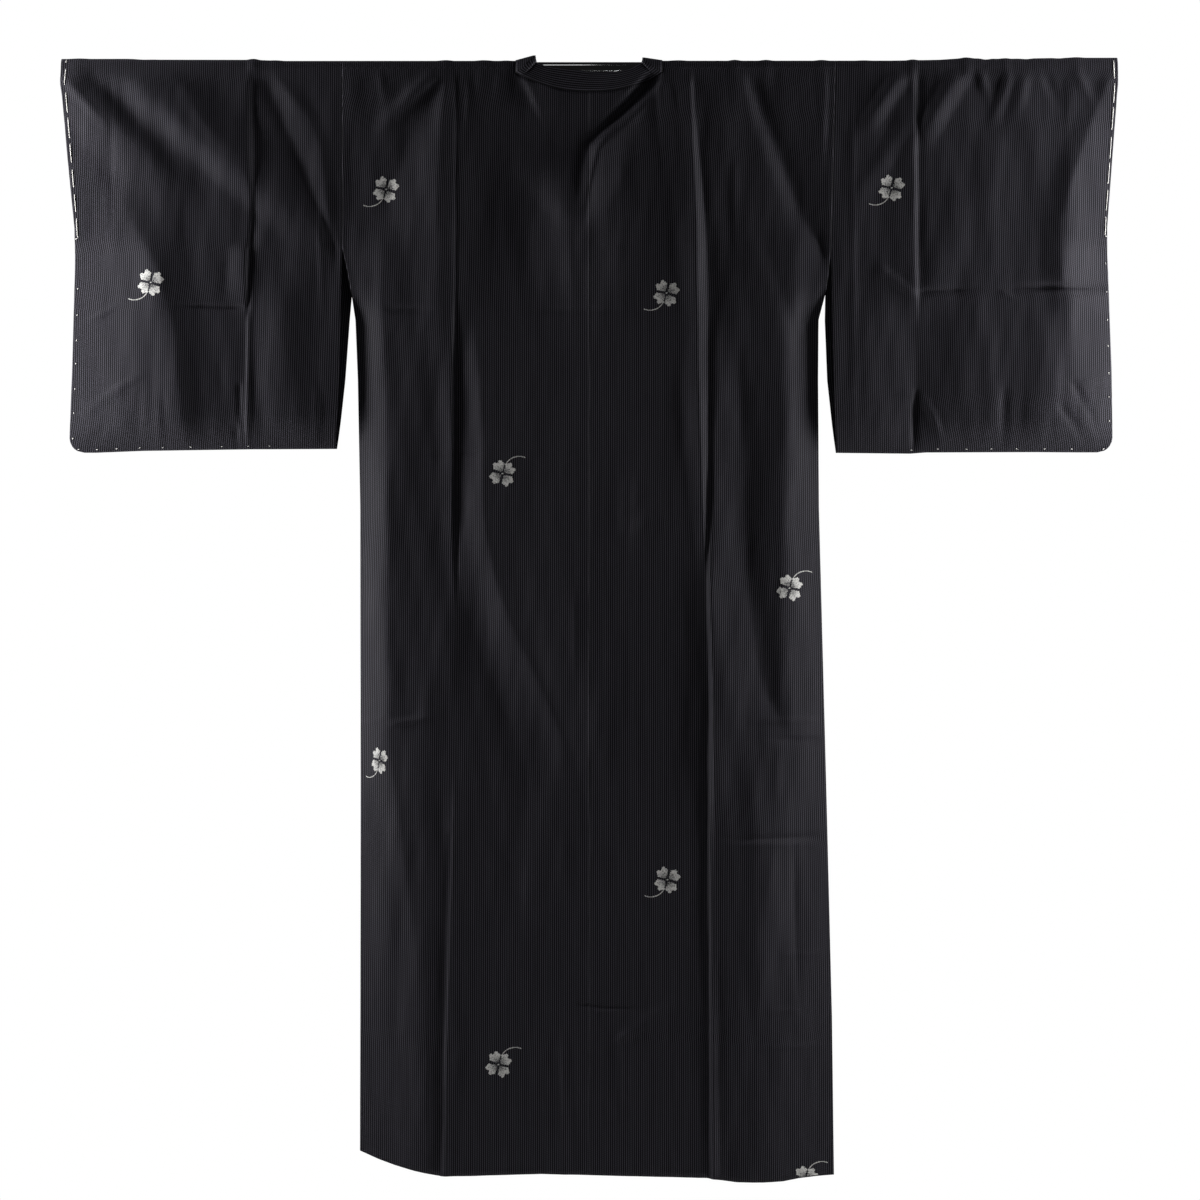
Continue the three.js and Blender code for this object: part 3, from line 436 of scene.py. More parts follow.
def ripple(x, drop):
    """Slow waves a fraction of a millimetre high."""
    total = 0
    for step_x, step_drop, turn, high in zip(*RIPPLES.values()):
        total = total + high * np.sin(2 * math.pi * (x / step_x + drop / step_drop) + turn)
    return total


def opening(distance, width):
    """0 on a sewn edge and 1 past the width in which the cloth opens out."""
    share = np.clip(distance / width, 0, 1)
    return mix(share, np.sin(share * math.pi / 2), 0.6)


BODY_FOLDS = ((BODY_BACK_FOLDS, BODY_BACK_LONG), (BODY_FRONT_FOLDS, BODY_FRONT_LONG))
SLEEVE_FOLDS = ((SLEEVE_BACK_FOLDS, SLEEVE_BACK_LONG), (SLEEVE_FRONT_FOLDS, SLEEVE_FRONT_LONG))


def by_face(tables, x, drop, face):
    """Folds of the back or the front, and the ripples of both."""
    back, front = (fold_height(*folds, x, drop) for folds in tables)
    return np.where(face < 0, back, front) + ripple(x, drop)


def off_rod(drop):
    """0 on the rod, where no fold can stand, and 1 a little below it."""
    return smooth(TOP - 2, 30, drop)


print("ripples: at most", round(RIPPLES["high"].sum(), 2), "mm high")

# %% The room between front and back
def body_depth(x, drop, face):
    """Half the distance between back and front of the body."""
    out = np.abs(x)
    from_side = read_half(SIDE_EDGE, drop, x) - out
    room = mix(read(SLEEVE_ROOM, "room", drop), read(BODY_ROOM, "room", drop),
               smooth(0, 100, from_side))
    folds = by_face(BODY_FOLDS, x, drop, face)
    free = off_rod(drop) * smooth(0, CALM, from_side)
    dent, width = SEAM_DENT
    centre_seam = np.where(face < 0, dent * (1 - smooth(0, width, out)), 0)
    sewn = smooth(ARMHOLE + 40, SIDE_SLIT_END + 10, drop)
    rolled = opening(from_side, read_half(SIDE_ROLL, drop, x))
    return mix(SEWN, room + folds * free - centre_seam, mix(1, rolled, sewn))


def sleeve_depth(x, drop, face):
    """The same for a sleeve, closed along its bottom and below the cuff opening."""
    out = np.abs(x)
    room = read(SLEEVE_ROOM, "room", drop)
    from_cuff = read_half(CUFF_EDGE, drop, x) - out
    from_inner = out - read_half(SLEEVE_INNER_BACK, drop, x)
    from_bottom = read_half(SLEEVE_BOTTOM, out, x) - drop
    folds = by_face(SLEEVE_FOLDS, x, drop, face)
    free = off_rod(drop) * smooth(0, CALM, np.maximum(from_inner, 0))
    sewn = smooth(CUFF_OPENING - 10, CUFF_OPENING + 25, drop)
    slack = mix(1, 0.5, smooth(20, 120, drop)) * (1 - sewn)
    at_cuff = mix(slack, 1, opening(from_cuff, np.where(x < 0, *CUFF_ROLL)))
    return mix(SEWN, room + folds * free, at_cuff * opening(from_bottom, BOTTOM_ROLL))


print("half depth, 500 mm down:", np.round(body_depth(-60.0, 500.0, -1), 1), "mm")

# %% From a place on the cloth to a point
def top_bump(x):
    """Height of the small folds that start on the rod."""
    height = np.zeros(np.shape(x))
    for at, wide, high in zip(*TOP_BUMPS.values()):
        height += high * soft(widths_away(x - at, wide, wide))
    return height


def run_at(drop):
    """Distance along the cloth from the fold over the rod to a drop."""
    return QUARTER + drop - TOP


def hang(depth, x, run, out=0.0):
    """Points of the cloth's middle surface, moved outward by out, as an array (..., 3)."""
    x, run, out = np.broadcast_arrays(np.asarray(x, float), np.asarray(run, float),
                                      np.asarray(out, float))
    length = np.abs(run)
    drop = TOP + np.maximum(length - QUARTER, 0)
    turn = np.clip(run / FOLD_RADIUS, -math.pi / 2, math.pi / 2)
    over = length < QUARTER
    bump = top_bump(x)
    high = FOLD_RADIUS + out + read(TOP_RISE, "rise", x) + bump
    y_over = (FOLD_RADIUS + out + np.maximum(bump, 0)) * np.sin(turn)
    faded = np.maximum(bump, 0) * (1 - smooth(TOP, 70, drop))
    y_hang = np.sign(run) * (depth(x, drop, np.sign(run)) + out + faded)
    return np.stack([x, np.where(over, y_over, y_hang),
                     np.where(over, high * np.cos(turn), TOP - drop)], axis=-1)


def outward(depth, x, run, out=0.0, step=0.6):
    """Unit normals of the same surface, pointing away from the coat's inside."""
    along_x = hang(depth, x + step, run, out) - hang(depth, x - step, run, out)
    along_run = hang(depth, x, run + step, out) - hang(depth, x, run - step, out)
    normal = np.cross(along_x, along_run)
    return normal / np.linalg.norm(normal, axis=-1, keepdims=True)


print("mid back, 500 mm down:", np.round(hang(body_depth, -60, -run_at(500)), 1))

# %% [markdown]
# ## From a grid to a shell of cloth
# A cloth is thin but not paper-thin, and its edges show at the hem, the cuffs and the open
# side slits. So each grid becomes a single sheet of quads, and a Solidify modifier gives it
# both faces and a rim. The UV map stores real lengths in metres, across the cloth and along
# it, so that the stripes keep their spacing however the cloth bends.

# %% Meshes, walls and places in the frame
def new_piece(name, points, faces):
    """An object with a mesh of points (in mm) and faces."""
    mesh = bpy.data.meshes.new(name)
    mesh.from_pydata((np.asarray(points) * MM).tolist(), [], faces)
    piece = bpy.data.objects.new(name, mesh)
    bpy.context.collection.objects.link(piece)
    return piece


def store_lengths(mesh, lengths):
    """Stores a pair of lengths (in mm) for each point as the UV map, in metres."""
    loops = np.empty(len(mesh.loops), dtype=int)
    mesh.loops.foreach_get("vertex_index", loops)
    layer = mesh.uv_layers.new(name="cloth_lengths")
    layer.data.foreach_set("uv", (lengths * MM)[loops].ravel())


def shade_smooth(mesh, caps=False):
    """Smooth shading, on the end caps of tubes only where asked."""
    faces = mesh.polygons
    faces.foreach_set("use_smooth", [caps or len(face.vertices) == 4 for face in faces])


def add_wall(piece, thickness):
    """Gives a sheet its thickness, half to each side."""
    solid = piece.modifiers.new("wall", "SOLIDIFY")
    solid.thickness = thickness * MM
    solid.offset = 0


def join(piece, material, node=None):
    """Gives a piece its look and its place in the frame."""
    piece.data.materials.append(material)
    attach(piece, "root")
    if node:
        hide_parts(node)
    return piece


print("every mesh is made in mm and turned into metres by", MM)

# %% A shell of cloth
def shell(name, points, across, along, wall, keep=None, sign=1):
    """A solidified sheet from points (rows, columns, 3), columns turned round by the sign."""
    order = slice(None, None, sign)
    points, across, along = points[:, order], across[:, order], along[:, order]
    keep = np.ones(across.shape, bool) if keep is None else keep[:, order]
    number = -np.ones(keep.shape, int)
    number[keep] = np.arange(keep.sum())
    corner = [number[:-1, :-1], number[:-1, 1:], number[1:, 1:], number[1:, :-1]]
    quads = np.stack(corner, axis=-1).reshape(-1, 4)
    piece = new_piece(name, points[keep], quads[(quads >= 0).all(axis=1)].tolist())
    store_lengths(piece.data, np.stack([across[keep], along[keep]], axis=-1))
    shade_smooth(piece.data)
    add_wall(piece, wall)
    return piece


print("shells are made of quads, with a wall of", WALL, "mm")

# %% Measures of a grid
def lengths_across(points, start):
    """Length along each row of the grid, from the column nearest the centre line."""
    steps = np.linalg.norm(np.diff(points, axis=1), axis=-1)
    total = np.concatenate([np.zeros((len(points), 1)), np.cumsum(steps, axis=1)], axis=1)
    return total + start


def cloth_area(piece):
    """Area of the sheet before its wall is added, in square metres."""
    return sum(p.area for p in piece.data.polygons)


def even(low, high, step):
    """Evenly spaced values from low to high, about one step apart."""
    return np.linspace(low, high, max(2, round((high - low) / step) + 1))


print("10 mm in steps of about 3:", np.round(even(0, 10, 3), 2))

# %% [markdown]
# ## The cloth's look
# The cloth is a black twill with fine violet-grey stripes about 2.7 mm apart, each stripe a
# broken line of lighter threads. A stripe could be painted as an image, but a formula of the
# UV lengths is sharp at any distance: the fraction across one stripe gives light and dark,
# and a faster wave along the thread breaks the line into dashes. A little sheen lifts the
# edges that turn away, as on the real cloth.

# %% Node helpers
def new_material(name, base, rough):
    """An empty material with its node tree and shader."""
    material = bpy.data.materials.new(name)
    material.use_nodes = True
    shader = material.node_tree.nodes["Principled BSDF"]
    shader.inputs["Base Color"].default_value = (*base, 1)
    shader.inputs["Roughness"].default_value = rough
    return material, material.node_tree, shader


def math_node(tree, operation, a, b=None, c=None):
    """A Math node on sockets or numbers, which returns its output."""
    node = tree.nodes.new("ShaderNodeMath")
    node.operation = operation
    for socket, value in zip(node.inputs, (a, b, c)):
        if value is None:
            continue
        if isinstance(value, (int, float)):
            socket.default_value = value
        else:
            tree.links.new(value, socket)
    return node.outputs[0]


def mix_colour(tree, factor, dark, light):
    """A colour between two, by a socket."""
    node = tree.nodes.new("ShaderNodeMix")
    node.data_type = "RGBA"
    for number, value in ((0, factor), (6, dark), (7, light)):
        socket = node.inputs[number]
        if isinstance(value, tuple):
            socket.default_value = (*value, 1)
        else:
            tree.links.new(value, socket)
    return node.outputs[2]


def noise(tree, vector, scale, detail=2.0):
    """Noise of a given scale, from 0 to 1."""
    node = tree.nodes.new("ShaderNodeTexNoise")
    node.inputs["Scale"].default_value = scale
    node.inputs["Detail"].default_value = detail
    tree.links.new(vector, node.inputs["Vector"])
    return node.outputs["Fac"]


def bump(tree, height, shader, strength, distance):
    """A Bump node on the shader's normal."""
    node = tree.nodes.new("ShaderNodeBump")
    node.inputs["Strength"].default_value = strength
    node.inputs["Distance"].default_value = distance
    tree.links.new(height, node.inputs["Height"])
    tree.links.new(node.outputs[0], shader.inputs["Normal"])


def stored_lengths(tree):
    """The lengths of the UV map: both, the one across the cloth and the one along it."""
    uv = tree.nodes.new("ShaderNodeUVMap")
    uv.uv_map = "cloth_lengths"
    split = tree.nodes.new("ShaderNodeSeparateXYZ")
    tree.links.new(uv.outputs[0], split.inputs[0])
    return uv.outputs[0], split.outputs[0], split.outputs[1]


def object_place(tree):
    """The place on the object, in metres."""
    return tree.nodes.new("ShaderNodeTexCoord").outputs["Object"]


print("node helpers: maths, mix, noise, bump, lengths and place")

# %% Striped cloth
STRIPE = 2.7 * MM          # from one stripe to the next
DASH = 2.3 * MM            # from one dash of a stripe to the next
DASH_SHIFT = 0.37          # share of that by which neighbours are shifted
THREAD = 0.62 * MM
GROUND = (0.0024, 0.0023, 0.0030)
STRIPE_COLOUR = (0.059, 0.0558, 0.0712)


def wave_node(tree, value, step):
    """A sine wave along a length."""
    return math_node(tree, "SINE", math_node(tree, "MULTIPLY", value, 2 * math.pi / step))


def striped_cloth():
    """Near-black twill with broken violet-grey stripes."""
    material, tree, shader = new_material("striped_cloth", GROUND, 0.62)
    lengths, across, along = stored_lengths(tree)
    place = math_node(tree, "DIVIDE", across, STRIPE)
    which = math_node(tree, "FLOOR", place)
    zigzag = math_node(tree, "MULTIPLY_ADD", math_node(tree, "FRACT", place), 2, -1)
    ridge = math_node(tree, "SUBTRACT", 1, math_node(tree, "ABSOLUTE", zigzag))
    line = tree.nodes.new("ShaderNodeMapRange")
    line.interpolation_type = "SMOOTHSTEP"
    line.inputs["From Min"].default_value = 0.44
    line.inputs["From Max"].default_value = 0.72
    tree.links.new(ridge, line.inputs["Value"])
    # each stripe is broken into dashes, shifted from its neighbour's
    shifted = math_node(tree, "MULTIPLY_ADD", which, DASH_SHIFT * DASH, along)
    dashes = math_node(tree, "MULTIPLY_ADD", wave_node(tree, shifted, DASH), 0.28, 0.72)
    # and some stripes are woven a little paler than others
    vector = tree.nodes.new("ShaderNodeCombineXYZ")
    tree.links.new(which, vector.inputs[0])
    tree.links.new(math_node(tree, "MULTIPLY", along, 9), vector.inputs[1])
    uneven = math_node(tree, "MULTIPLY_ADD", noise(tree, vector.outputs[0], 0.9), 0.8, 0.60)
    strength = math_node(tree, "MULTIPLY", line.outputs[0], dashes)
    strength = math_node(tree, "MULTIPLY", strength, uneven)
    colour = mix_colour(tree, strength, GROUND, STRIPE_COLOUR)
    tree.links.new(colour, shader.inputs["Base Color"])
    # twill: fine diagonal ribs, and raised stripe threads
    rib = wave_node(tree, math_node(tree, "ADD", across, along), THREAD)
    height = math_node(tree, "MULTIPLY_ADD", rib, 0.4, strength)
    bump(tree, height, shader, 0.25, 0.12 * MM)
    rough = math_node(tree, "MULTIPLY_ADD", noise(tree, lengths, 14.0), 0.16, 0.54)
    tree.links.new(rough, shader.inputs["Roughness"])
    shader.inputs["Specular IOR Level"].default_value = 0.10
    shader.inputs["Sheen Weight"].default_value = 0.025
    shader.inputs["Sheen Roughness"].default_value = 0.45
    shader.inputs["Sheen Tint"].default_value = (0.86, 0.84, 1.0, 1)
    return material


CLOTH = striped_cloth()
print(f"striped cloth: one stripe every {STRIPE / MM:.1f} mm")

# %% [markdown]
# ## Body lengths
# Each half of the body is one length of cloth. Its columns follow the pressed crease, so the
# crease stays sharp with few points, and its top rows on the back bend down to the curved
# neckline. Past the neckline there is no cloth, so those grid places are simply left out.

# %% Rows and columns of a grid
# drops of the creases across the coat
FINE_ROWS = (235, 293, 314, 401, 494, 830, 845, 978, 1118, 1184, 1233)


def row_drops(low, high, step):
    """Drops about one step apart, and finer beside the creases across the coat."""
    drops = [low]
    while drops[-1] < high:
        near = min(abs(drops[-1] - crease) for crease in FINE_ROWS)
        drops.append(drops[-1] + (step if near > step + 6 else step / 2.5))
    drops = np.array(drops)
    return low + (drops - low) * (high - low) / (drops[-1] - low)


def cloth_rows(length, step_back, step_front, turns=16):
    """Drops, faces and runs of a grid's rows: up the back, over the rod, down the front."""
    back = row_drops(TOP, length, step_back)[::-1]
    over = np.linspace(-QUARTER, QUARTER, turns + 1)[1:-1]
    front = row_drops(TOP, length, step_front)
    drops = np.concatenate([back, np.full(len(over), TOP), front])
    faces = np.concatenate([-np.ones(len(back)), np.sign(over), np.ones(len(front))])
    runs = np.concatenate([-run_at(back), over, run_at(front)])
    return drops, faces, runs, np.abs(runs) < QUARTER - 1e-6


def between(*guides):
    """Columns between guide lines. A guide is an array over the rows and the step after it."""
    lines = [guides[0][0]]
    for (low, step), (high, _) in zip(guides[:-1], guides[1:]):
        count = max(1, round(float(np.median(high - low)) / step))
        lines += [mix(low, high, n / count) for n in range(1, count + 1)]
    return np.stack(lines, axis=1)


print("rows of a body length:", len(cloth_rows(BODY_LENGTH, 7.5, 15.0)[0]))

# %% From rows to a piece of cloth
def to_hem(drop, out, x_sign):
    """Stretches the lowest rows down to the uneven hem."""
    hem = read_half(HEM, out, np.broadcast_to(x_sign, out.shape))
    share = np.clip((drop - HEM_FROM) / (BODY_LENGTH - HEM_FROM), 0, 1)
    return np.where(drop > HEM_FROM, mix(HEM_FROM, hem, share), drop)


def hung(name, sign, depth, rows, outs, drop, start, keep=None):
    """A shell whose rows run up the back, over the rod and down the front."""
    _, faces, runs, over = rows
    run = np.where(over[:, None], runs[:, None], faces[:, None] * run_at(drop))
    points = hang(depth, sign * outs, run)
    return shell(name, points, lengths_across(points, start), run, WALL, keep, sign)


def dress(piece, node):
    """Makes a shell a piece of the striped cloth."""
    print(piece.name, len(piece.data.polygons), "quads,", round(cloth_area(piece), 4), "m2")
    return join(piece, CLOTH, node)


print("the rows bend to the hem from", HEM_FROM, "mm down")

# %% Body, left and right
NECK_ROWS_FROM = 90.0      # above this drop the rows follow the neckline


def body_half(half, sign):
    """One length, from the back hem over the shoulder to the front hem."""
    rows = cloth_rows(BODY_LENGTH, step_back=7.5, step_front=15.0)
    drops, faces, _, over = rows
    one = np.ones(len(drops))
    neck_edge = NECK_HALF + STITCHED
    crease = read(BODY_CREASE, half, drops)
    side = read(SIDE_EDGE, half, drops) - STITCHED
    outs = between((one * STITCHED, 1.2), (one * 3.6, 3.4), (one * neck_edge, 3.0),
                   (crease - 14, 1.5), (crease + 14, 3.0), (side - 24, 2.4), (side - 2, 1.0),
                   (side, None))
    drop = np.repeat(drops[:, None], outs.shape[1], axis=1)
    in_neck = outs < neck_edge - 1e-6
    share = np.clip((drop - TOP) / (NECK_ROWS_FROM - TOP), 0, 1)
    bent = mix(neckline(outs), NECK_ROWS_FROM, share)
    drop = np.where(in_neck & (drop < NECK_ROWS_FROM), bent, drop)
    keep = ~in_neck | ((faces < 0) & ~over)[:, None]
    piece = hung(f"cloth_body_{half}", sign, body_depth, rows, outs, to_hem(drop, outs, sign),
                 0.0, keep)
    return dress(piece, f"body_{half}")


BODY = {half: body_half(half, sign) for half, sign in HALVES}

# %% [markdown]
# ## Sleeves
# A kimono sleeve is one length folded at the top and sewn along its bottom and the outside
# edge, up to the cuff opening. Next to the body it stays open, and the front layer swings a
# little towards the body, so a dark sliver shows between the sleeve and the side slit.

# %% Sleeves
BOTTOM_ROWS_FROM = 400.0   # below this drop the rows follow the sleeve's bottom


def sleeve(half, sign):
    """One length folded at the top, with a round lower corner."""
    rows = cloth_rows(SLEEVE_DROP, step_back=5.0, step_front=8.0)
    drops, faces, _, over = rows
    shown = np.where(over, 0, drops)
    inner = np.where(faces > 0, read(SLEEVE_INNER_FRONT, half, shown),
                     read(SLEEVE_INNER_BACK, half, shown)) + STITCHED
    into = np.maximum(0, SLEEVE_CORNER - (SLEEVE_DROP - shown))
    inset = SLEEVE_CORNER - np.sqrt(SLEEVE_CORNER ** 2 - into ** 2)
    cuff = read(CUFF_EDGE, half, shown) - inset
    crease = read(SLEEVE_CREASE, half, shown)
    outs = between((inner, 1.2), (inner + 3.6, 3.4), (crease - 10, 1.7), (crease + 10, 3.4),
                   (cuff - 12, 2.4), (cuff - 2, 1.0), (cuff, None))
    drop = np.repeat(drops[:, None], outs.shape[1], axis=1)
    share = (drop - BOTTOM_ROWS_FROM) / (SLEEVE_DROP - BOTTOM_ROWS_FROM)
    bent = mix(BOTTOM_ROWS_FROM, read(SLEEVE_BOTTOM, half, outs), share)
    drop = np.where(share > 0, bent, drop)
    piece = hung(f"cloth_sleeve_{half}", sign, sleeve_depth, rows, outs, drop, ARMHOLE_OUT)
    return dress(piece, f"sleeve_{half}")


SLEEVES = {half: sleeve(half, sign) for half, sign in HALVES}

# %% [markdown]
# ## Front overlap panels
# On the hidden side two panels fill the space between the body's front edges, the wearer's
# left one outside. They lie on each other, so each tilts a little: the left one leaves its
# own seam and stands out, and the right one tucks in.

# %% Overlap panels
def overlap_out(sign, from_seam):
    """How far a panel stands out or tucks in at a distance from its seam."""
    return -sign * OVERLAP_STEP * from_seam / OVERLAP_REACH


def overlap(half, sign):
    """A panel from its seam on the body's front edge to its free edge."""
    drops = row_drops(NECK_DEPTH + SEAM_GAP / 2, BODY_LENGTH, 12.0)
    from_seam = even(STITCHED, OVERLAP_REACH, 5.0)
    x = sign * (NECK_HALF - from_seam)[None, :] + 0 * drops[:, None]
    run = run_at(to_hem(drops[:, None] + 0 * x, np.abs(x), np.sign(x)))
    points = hang(body_depth, x, run, overlap_out(sign, from_seam)[None, :])
    piece = shell(f"cloth_overlap_{half}", points, from_seam + 0 * x, run, WALL, sign=-sign)
    return dress(piece, f"overlap_{half}")


OVERLAPS = {half: overlap(half, sign) for half, sign in HALVES}

# %% [markdown]
# ## Neckband
# The band is a straight strip folded double. It lies flat round the back, stands up where it
# turns over the shoulders, runs down both sides of the square neck and crosses the top of each
# overlap panel. We lay it as a ribbon between its sewn edge and its free edge.

# %% Neckband
BAND_BACK = table(
    "seam_out free_out drop_left drop_right stand", (0, 0, 15.4, 15.4, 0), (20, 17, 12.8, 15.9, 0),
    (40, 35, 10.8, 15.2, 0), (60, 52, 8.4, 11.0, 0), (74, 60, 6.2, 7.0, 0),
    (80, 64.5, 4.6, 5.0, 0.5), (83, 66, 4.0, 4.4, -1.6), (85, 66.5, 3.7, 4.0, 4),
    (92, 67, 1.9, 2.2, 5.5))
BAND_FRONT = table(
    "seam_run free_run stand", (-run_at(NECK_TOP), -6, 5.5), (-14, -4, 6), (-8, -1, 6), (-3, 2, 6),
    (2, 6, 6), (7, 10, 5), (12, 15, 4), (17, 20, 3), (50, 48, 1), (90, 85, 0), (135, 122, 0),
    (run_at(NECK_DEPTH), run_at(NECK_DEPTH - BAND_WIDTH), 0))
STANDS = {"left": 1.0, "right": 0.55}    # the band stands up less on the right shoulder


def back_run(drop):
    """Run down the back to a drop, also where it lies over the rod."""
    turn = np.arccos(np.clip((TOP - drop) / FOLD_RADIUS, 0, 1))
    return -np.where(drop < TOP, FOLD_RADIUS * turn, run_at(drop))


def band_half(half, sign):
    """Columns of half the band from the centre back to the panel's free edge."""
    seam_edge = NECK_HALF - STITCHED
    out = np.concatenate([even(0, 76, 2.5), even(77, NECK_HALF, 1.0)])
    free_out, free_drop, stand = (read(BAND_BACK, c, out)
                                  for c in ("free_out", f"drop_{half}", "stand"))
    back = [np.minimum(out, seam_edge), 2 * STITCHED - run_at(neckline(out)), free_out,
            back_run(free_drop), stand]
    run = np.concatenate([even(-21, 30, 1.5), even(33, run_at(NECK_DEPTH), 4.0)])
    free_run, stand = (read(BAND_FRONT, c, run) for c in ("free_run", "stand"))
    front = [run * 0 + seam_edge, run, run * 0 + NECK_HALF - BAND_WIDTH, free_run, stand]
    front[1][-1] -= SEAM_GAP / 2
    cross = even(-(OVERLAP_REACH - NECK_HALF), NECK_HALF - BAND_WIDTH - 4, 4.0)[::-1]
    across = [cross, cross * 0 + front[1][-1], cross, cross * 0 + free_run[-1], cross * 0]
    seam_out, seam_run, free_out, free_run, stand = np.concatenate([back, front, across], axis=1)
    share = np.linspace(0, 1, 9)[:, None]
    out = mix(seam_out, free_out, share)
    run = mix(seam_run, free_run, share)
    tuck = overlap_out(sign, NECK_HALF - out) * smooth(40, 120, run)
    lift = STANDS[half] * stand * np.minimum(1, 1.12 * share) + (BAND_WALL - WALL) / 2 + tuck
    return hang(body_depth, sign * out, run, lift)


def neckband():
    """Both halves of the band as one ribbon, and its length."""
    points = np.concatenate([band_half("right", 1)[:, :0:-1], band_half("left", -1)], axis=1)[::-1]
    middle = points[len(points) // 2]
    along = np.concatenate([[0], np.cumsum(np.linalg.norm(np.diff(middle, axis=0), axis=1))])
    width = np.linspace(0, BAND_WIDTH, len(points))[:, None]
    piece = shell("cloth_neckband", points, width + 0 * along, along + 0 * width, BAND_WALL)
    return dress(piece, "neckband"), along[-1]


NECKBAND, BAND_LENGTH = neckband()
print(f"neckband: {BAND_LENGTH:.0f} mm long")

# %% [markdown]
# ## Woven clovers
# Silver-grey four-leaf clovers are woven into the cloth here and there. They aren't print: the
# pale weft threads lie on top and end in steps, which gives the leaves their ragged edges. So
# each clover is made as it is woven. A fine grid of thread crossings is laid on the cloth, and
# the crossings inside the leaf shape get a thin raised patch.

# %% The clover's shape
THREAD_STEP = 0.75          # one thread crossing, mm
LEAF_ANGLES = (31, 124, 214, 296)
STEM = ((-3.4, -11.2, 0.46), (-6.4, -15.0, 0.46), (-9.4, -17.8, 0.48), (-13.4, -20.0, 0.5),
        (-18.4, -21.3, 0.52), (-23.2, -21.3, 0.52), (-27.8, -20.2, 0.46))   # p, q, half width
LEAF_LENGTH = 16.5
LEAF_HALF = 7.3
PATCH_LIFT = 0.16           # the patches' middle above the cloth
PATCH_WALL = 0.3


def in_leaf(p, q, angle):
    """True inside one fan-shaped leaf that narrows to the middle and has a toothed rim."""
    a = p * math.cos(angle) + q * math.sin(angle)
    b = -p * math.sin(angle) + q * math.cos(angle)
    bend = np.arctan2(b, a)
    teeth = 0.4 * np.cos(37 * bend) - 1.0 * np.cos(11.5 * bend)
    notch = 1.3 * np.exp(-(bend / 0.12) ** 2)
    rim = LEAF_LENGTH + teeth - notch - 7.0 * bend ** 2
    side = LEAF_HALF + 0.5 * np.sin(2.1 * a)
    return (a > 3.0) & (np.hypot(a, b) < rim) & (np.abs(b) < np.minimum(side, 0.95 * (a - 1.9)))


def near_stem(p, q):
    """True within a thread or two of the curved stem."""
    close = np.zeros(p.shape, bool)
    for (p1, q1, half1), (p2, q2, half2) in zip(STEM[:-1], STEM[1:]):
        dp, dq = p2 - p1, q2 - q1
        t = np.clip(((p - p1) * dp + (q - q1) * dq) / (dp * dp + dq * dq), 0, 1)
        close |= np.hypot(p - p1 - t * dp, q - q1 - t * dq) < mix(half1, half2, t)
    return close


def leaf_shade(p, q, chance):
    """How pale the thread is: paler to the rim, with dark veins and uneven crossings."""
    radius = np.hypot(p, q)
    bend = np.arctan2(q, p)
    lines = np.cos(4 * bend + 8.2) * np.cos(1.3 * radius) * np.cos(17 * bend + 0.5 * radius)
    paler = 0.66 * smooth(3, 14, radius) + 0.46 * 0.5 * lines + 0.6 * (chance - 0.5)
    return np.clip(0.20 + paler, 0.06, 1)


print("leaves", LEAF_LENGTH, "mm long, turned by", LEAF_ANGLES, "degrees")

# %% Silver thread
def silver_thread():
    """Pale floats of weft that lie across the dark cloth."""
    material, tree, shader = new_material("silver_thread", (0.40, 0.40, 0.385), 0.5)
    lengths, _, along = stored_lengths(tree)
    wave = wave_node(tree, along, THREAD_STEP * MM)
    shade = tree.nodes.new("ShaderNodeAttribute")
    shade.attribute_name = "thread_shade"
    grain = math_node(tree, "MULTIPLY_ADD", noise(tree, lengths, 900.0, 1.0), 0.5, 0.72)
    level = math_node(tree, "MULTIPLY", math_node(tree, "MULTIPLY", shade.outputs["Fac"], grain),
                      math_node(tree, "MULTIPLY_ADD", wave, 0.12, 0.88))
    colour = mix_colour(tree, level, (0.03, 0.03, 0.034), (0.70, 0.69, 0.665))
    tree.links.new(colour, shader.inputs["Base Color"])
    bump(tree, wave, shader, 0.5, 0.15 * MM)
    shader.inputs["Sheen Weight"].default_value = 0.35
    return material


SILVER = silver_thread()
print("silver thread: a crossing every", THREAD_STEP, "mm")

# %% A clover on the cloth
CLOVERS_BACK = table(
    "x drop turn squeeze", (-548, 280, 0, 1), (-254, 163, 0, 1), (379, 161, 0, 1), (97, 293, 0, 1),
    (-108, 519, 180, 1), (251, 662, 180, 1), (-262, 878, 0, 0.62), (98, 1027, 0, 1),
    (-113, 1258, 180, 1), (271, 1403, 180, 1))
CLOVERS_FRONT = table(
    "x drop turn squeeze", (530, 250, 0, 1), (236, 150, 180, 1), (-392, 190, 0, 1),
    (-150, 330, 180, 1), (170, 540, 0, 1), (-236, 640, 0, 1), (230, 930, 180, 1),
    (-180, 1010, 0, 1), (200, 1290, 0, 1))
CLOVER_REACH = 29.25        # half of the square of crossings round a clover
chances = np.random.default_rng(5)


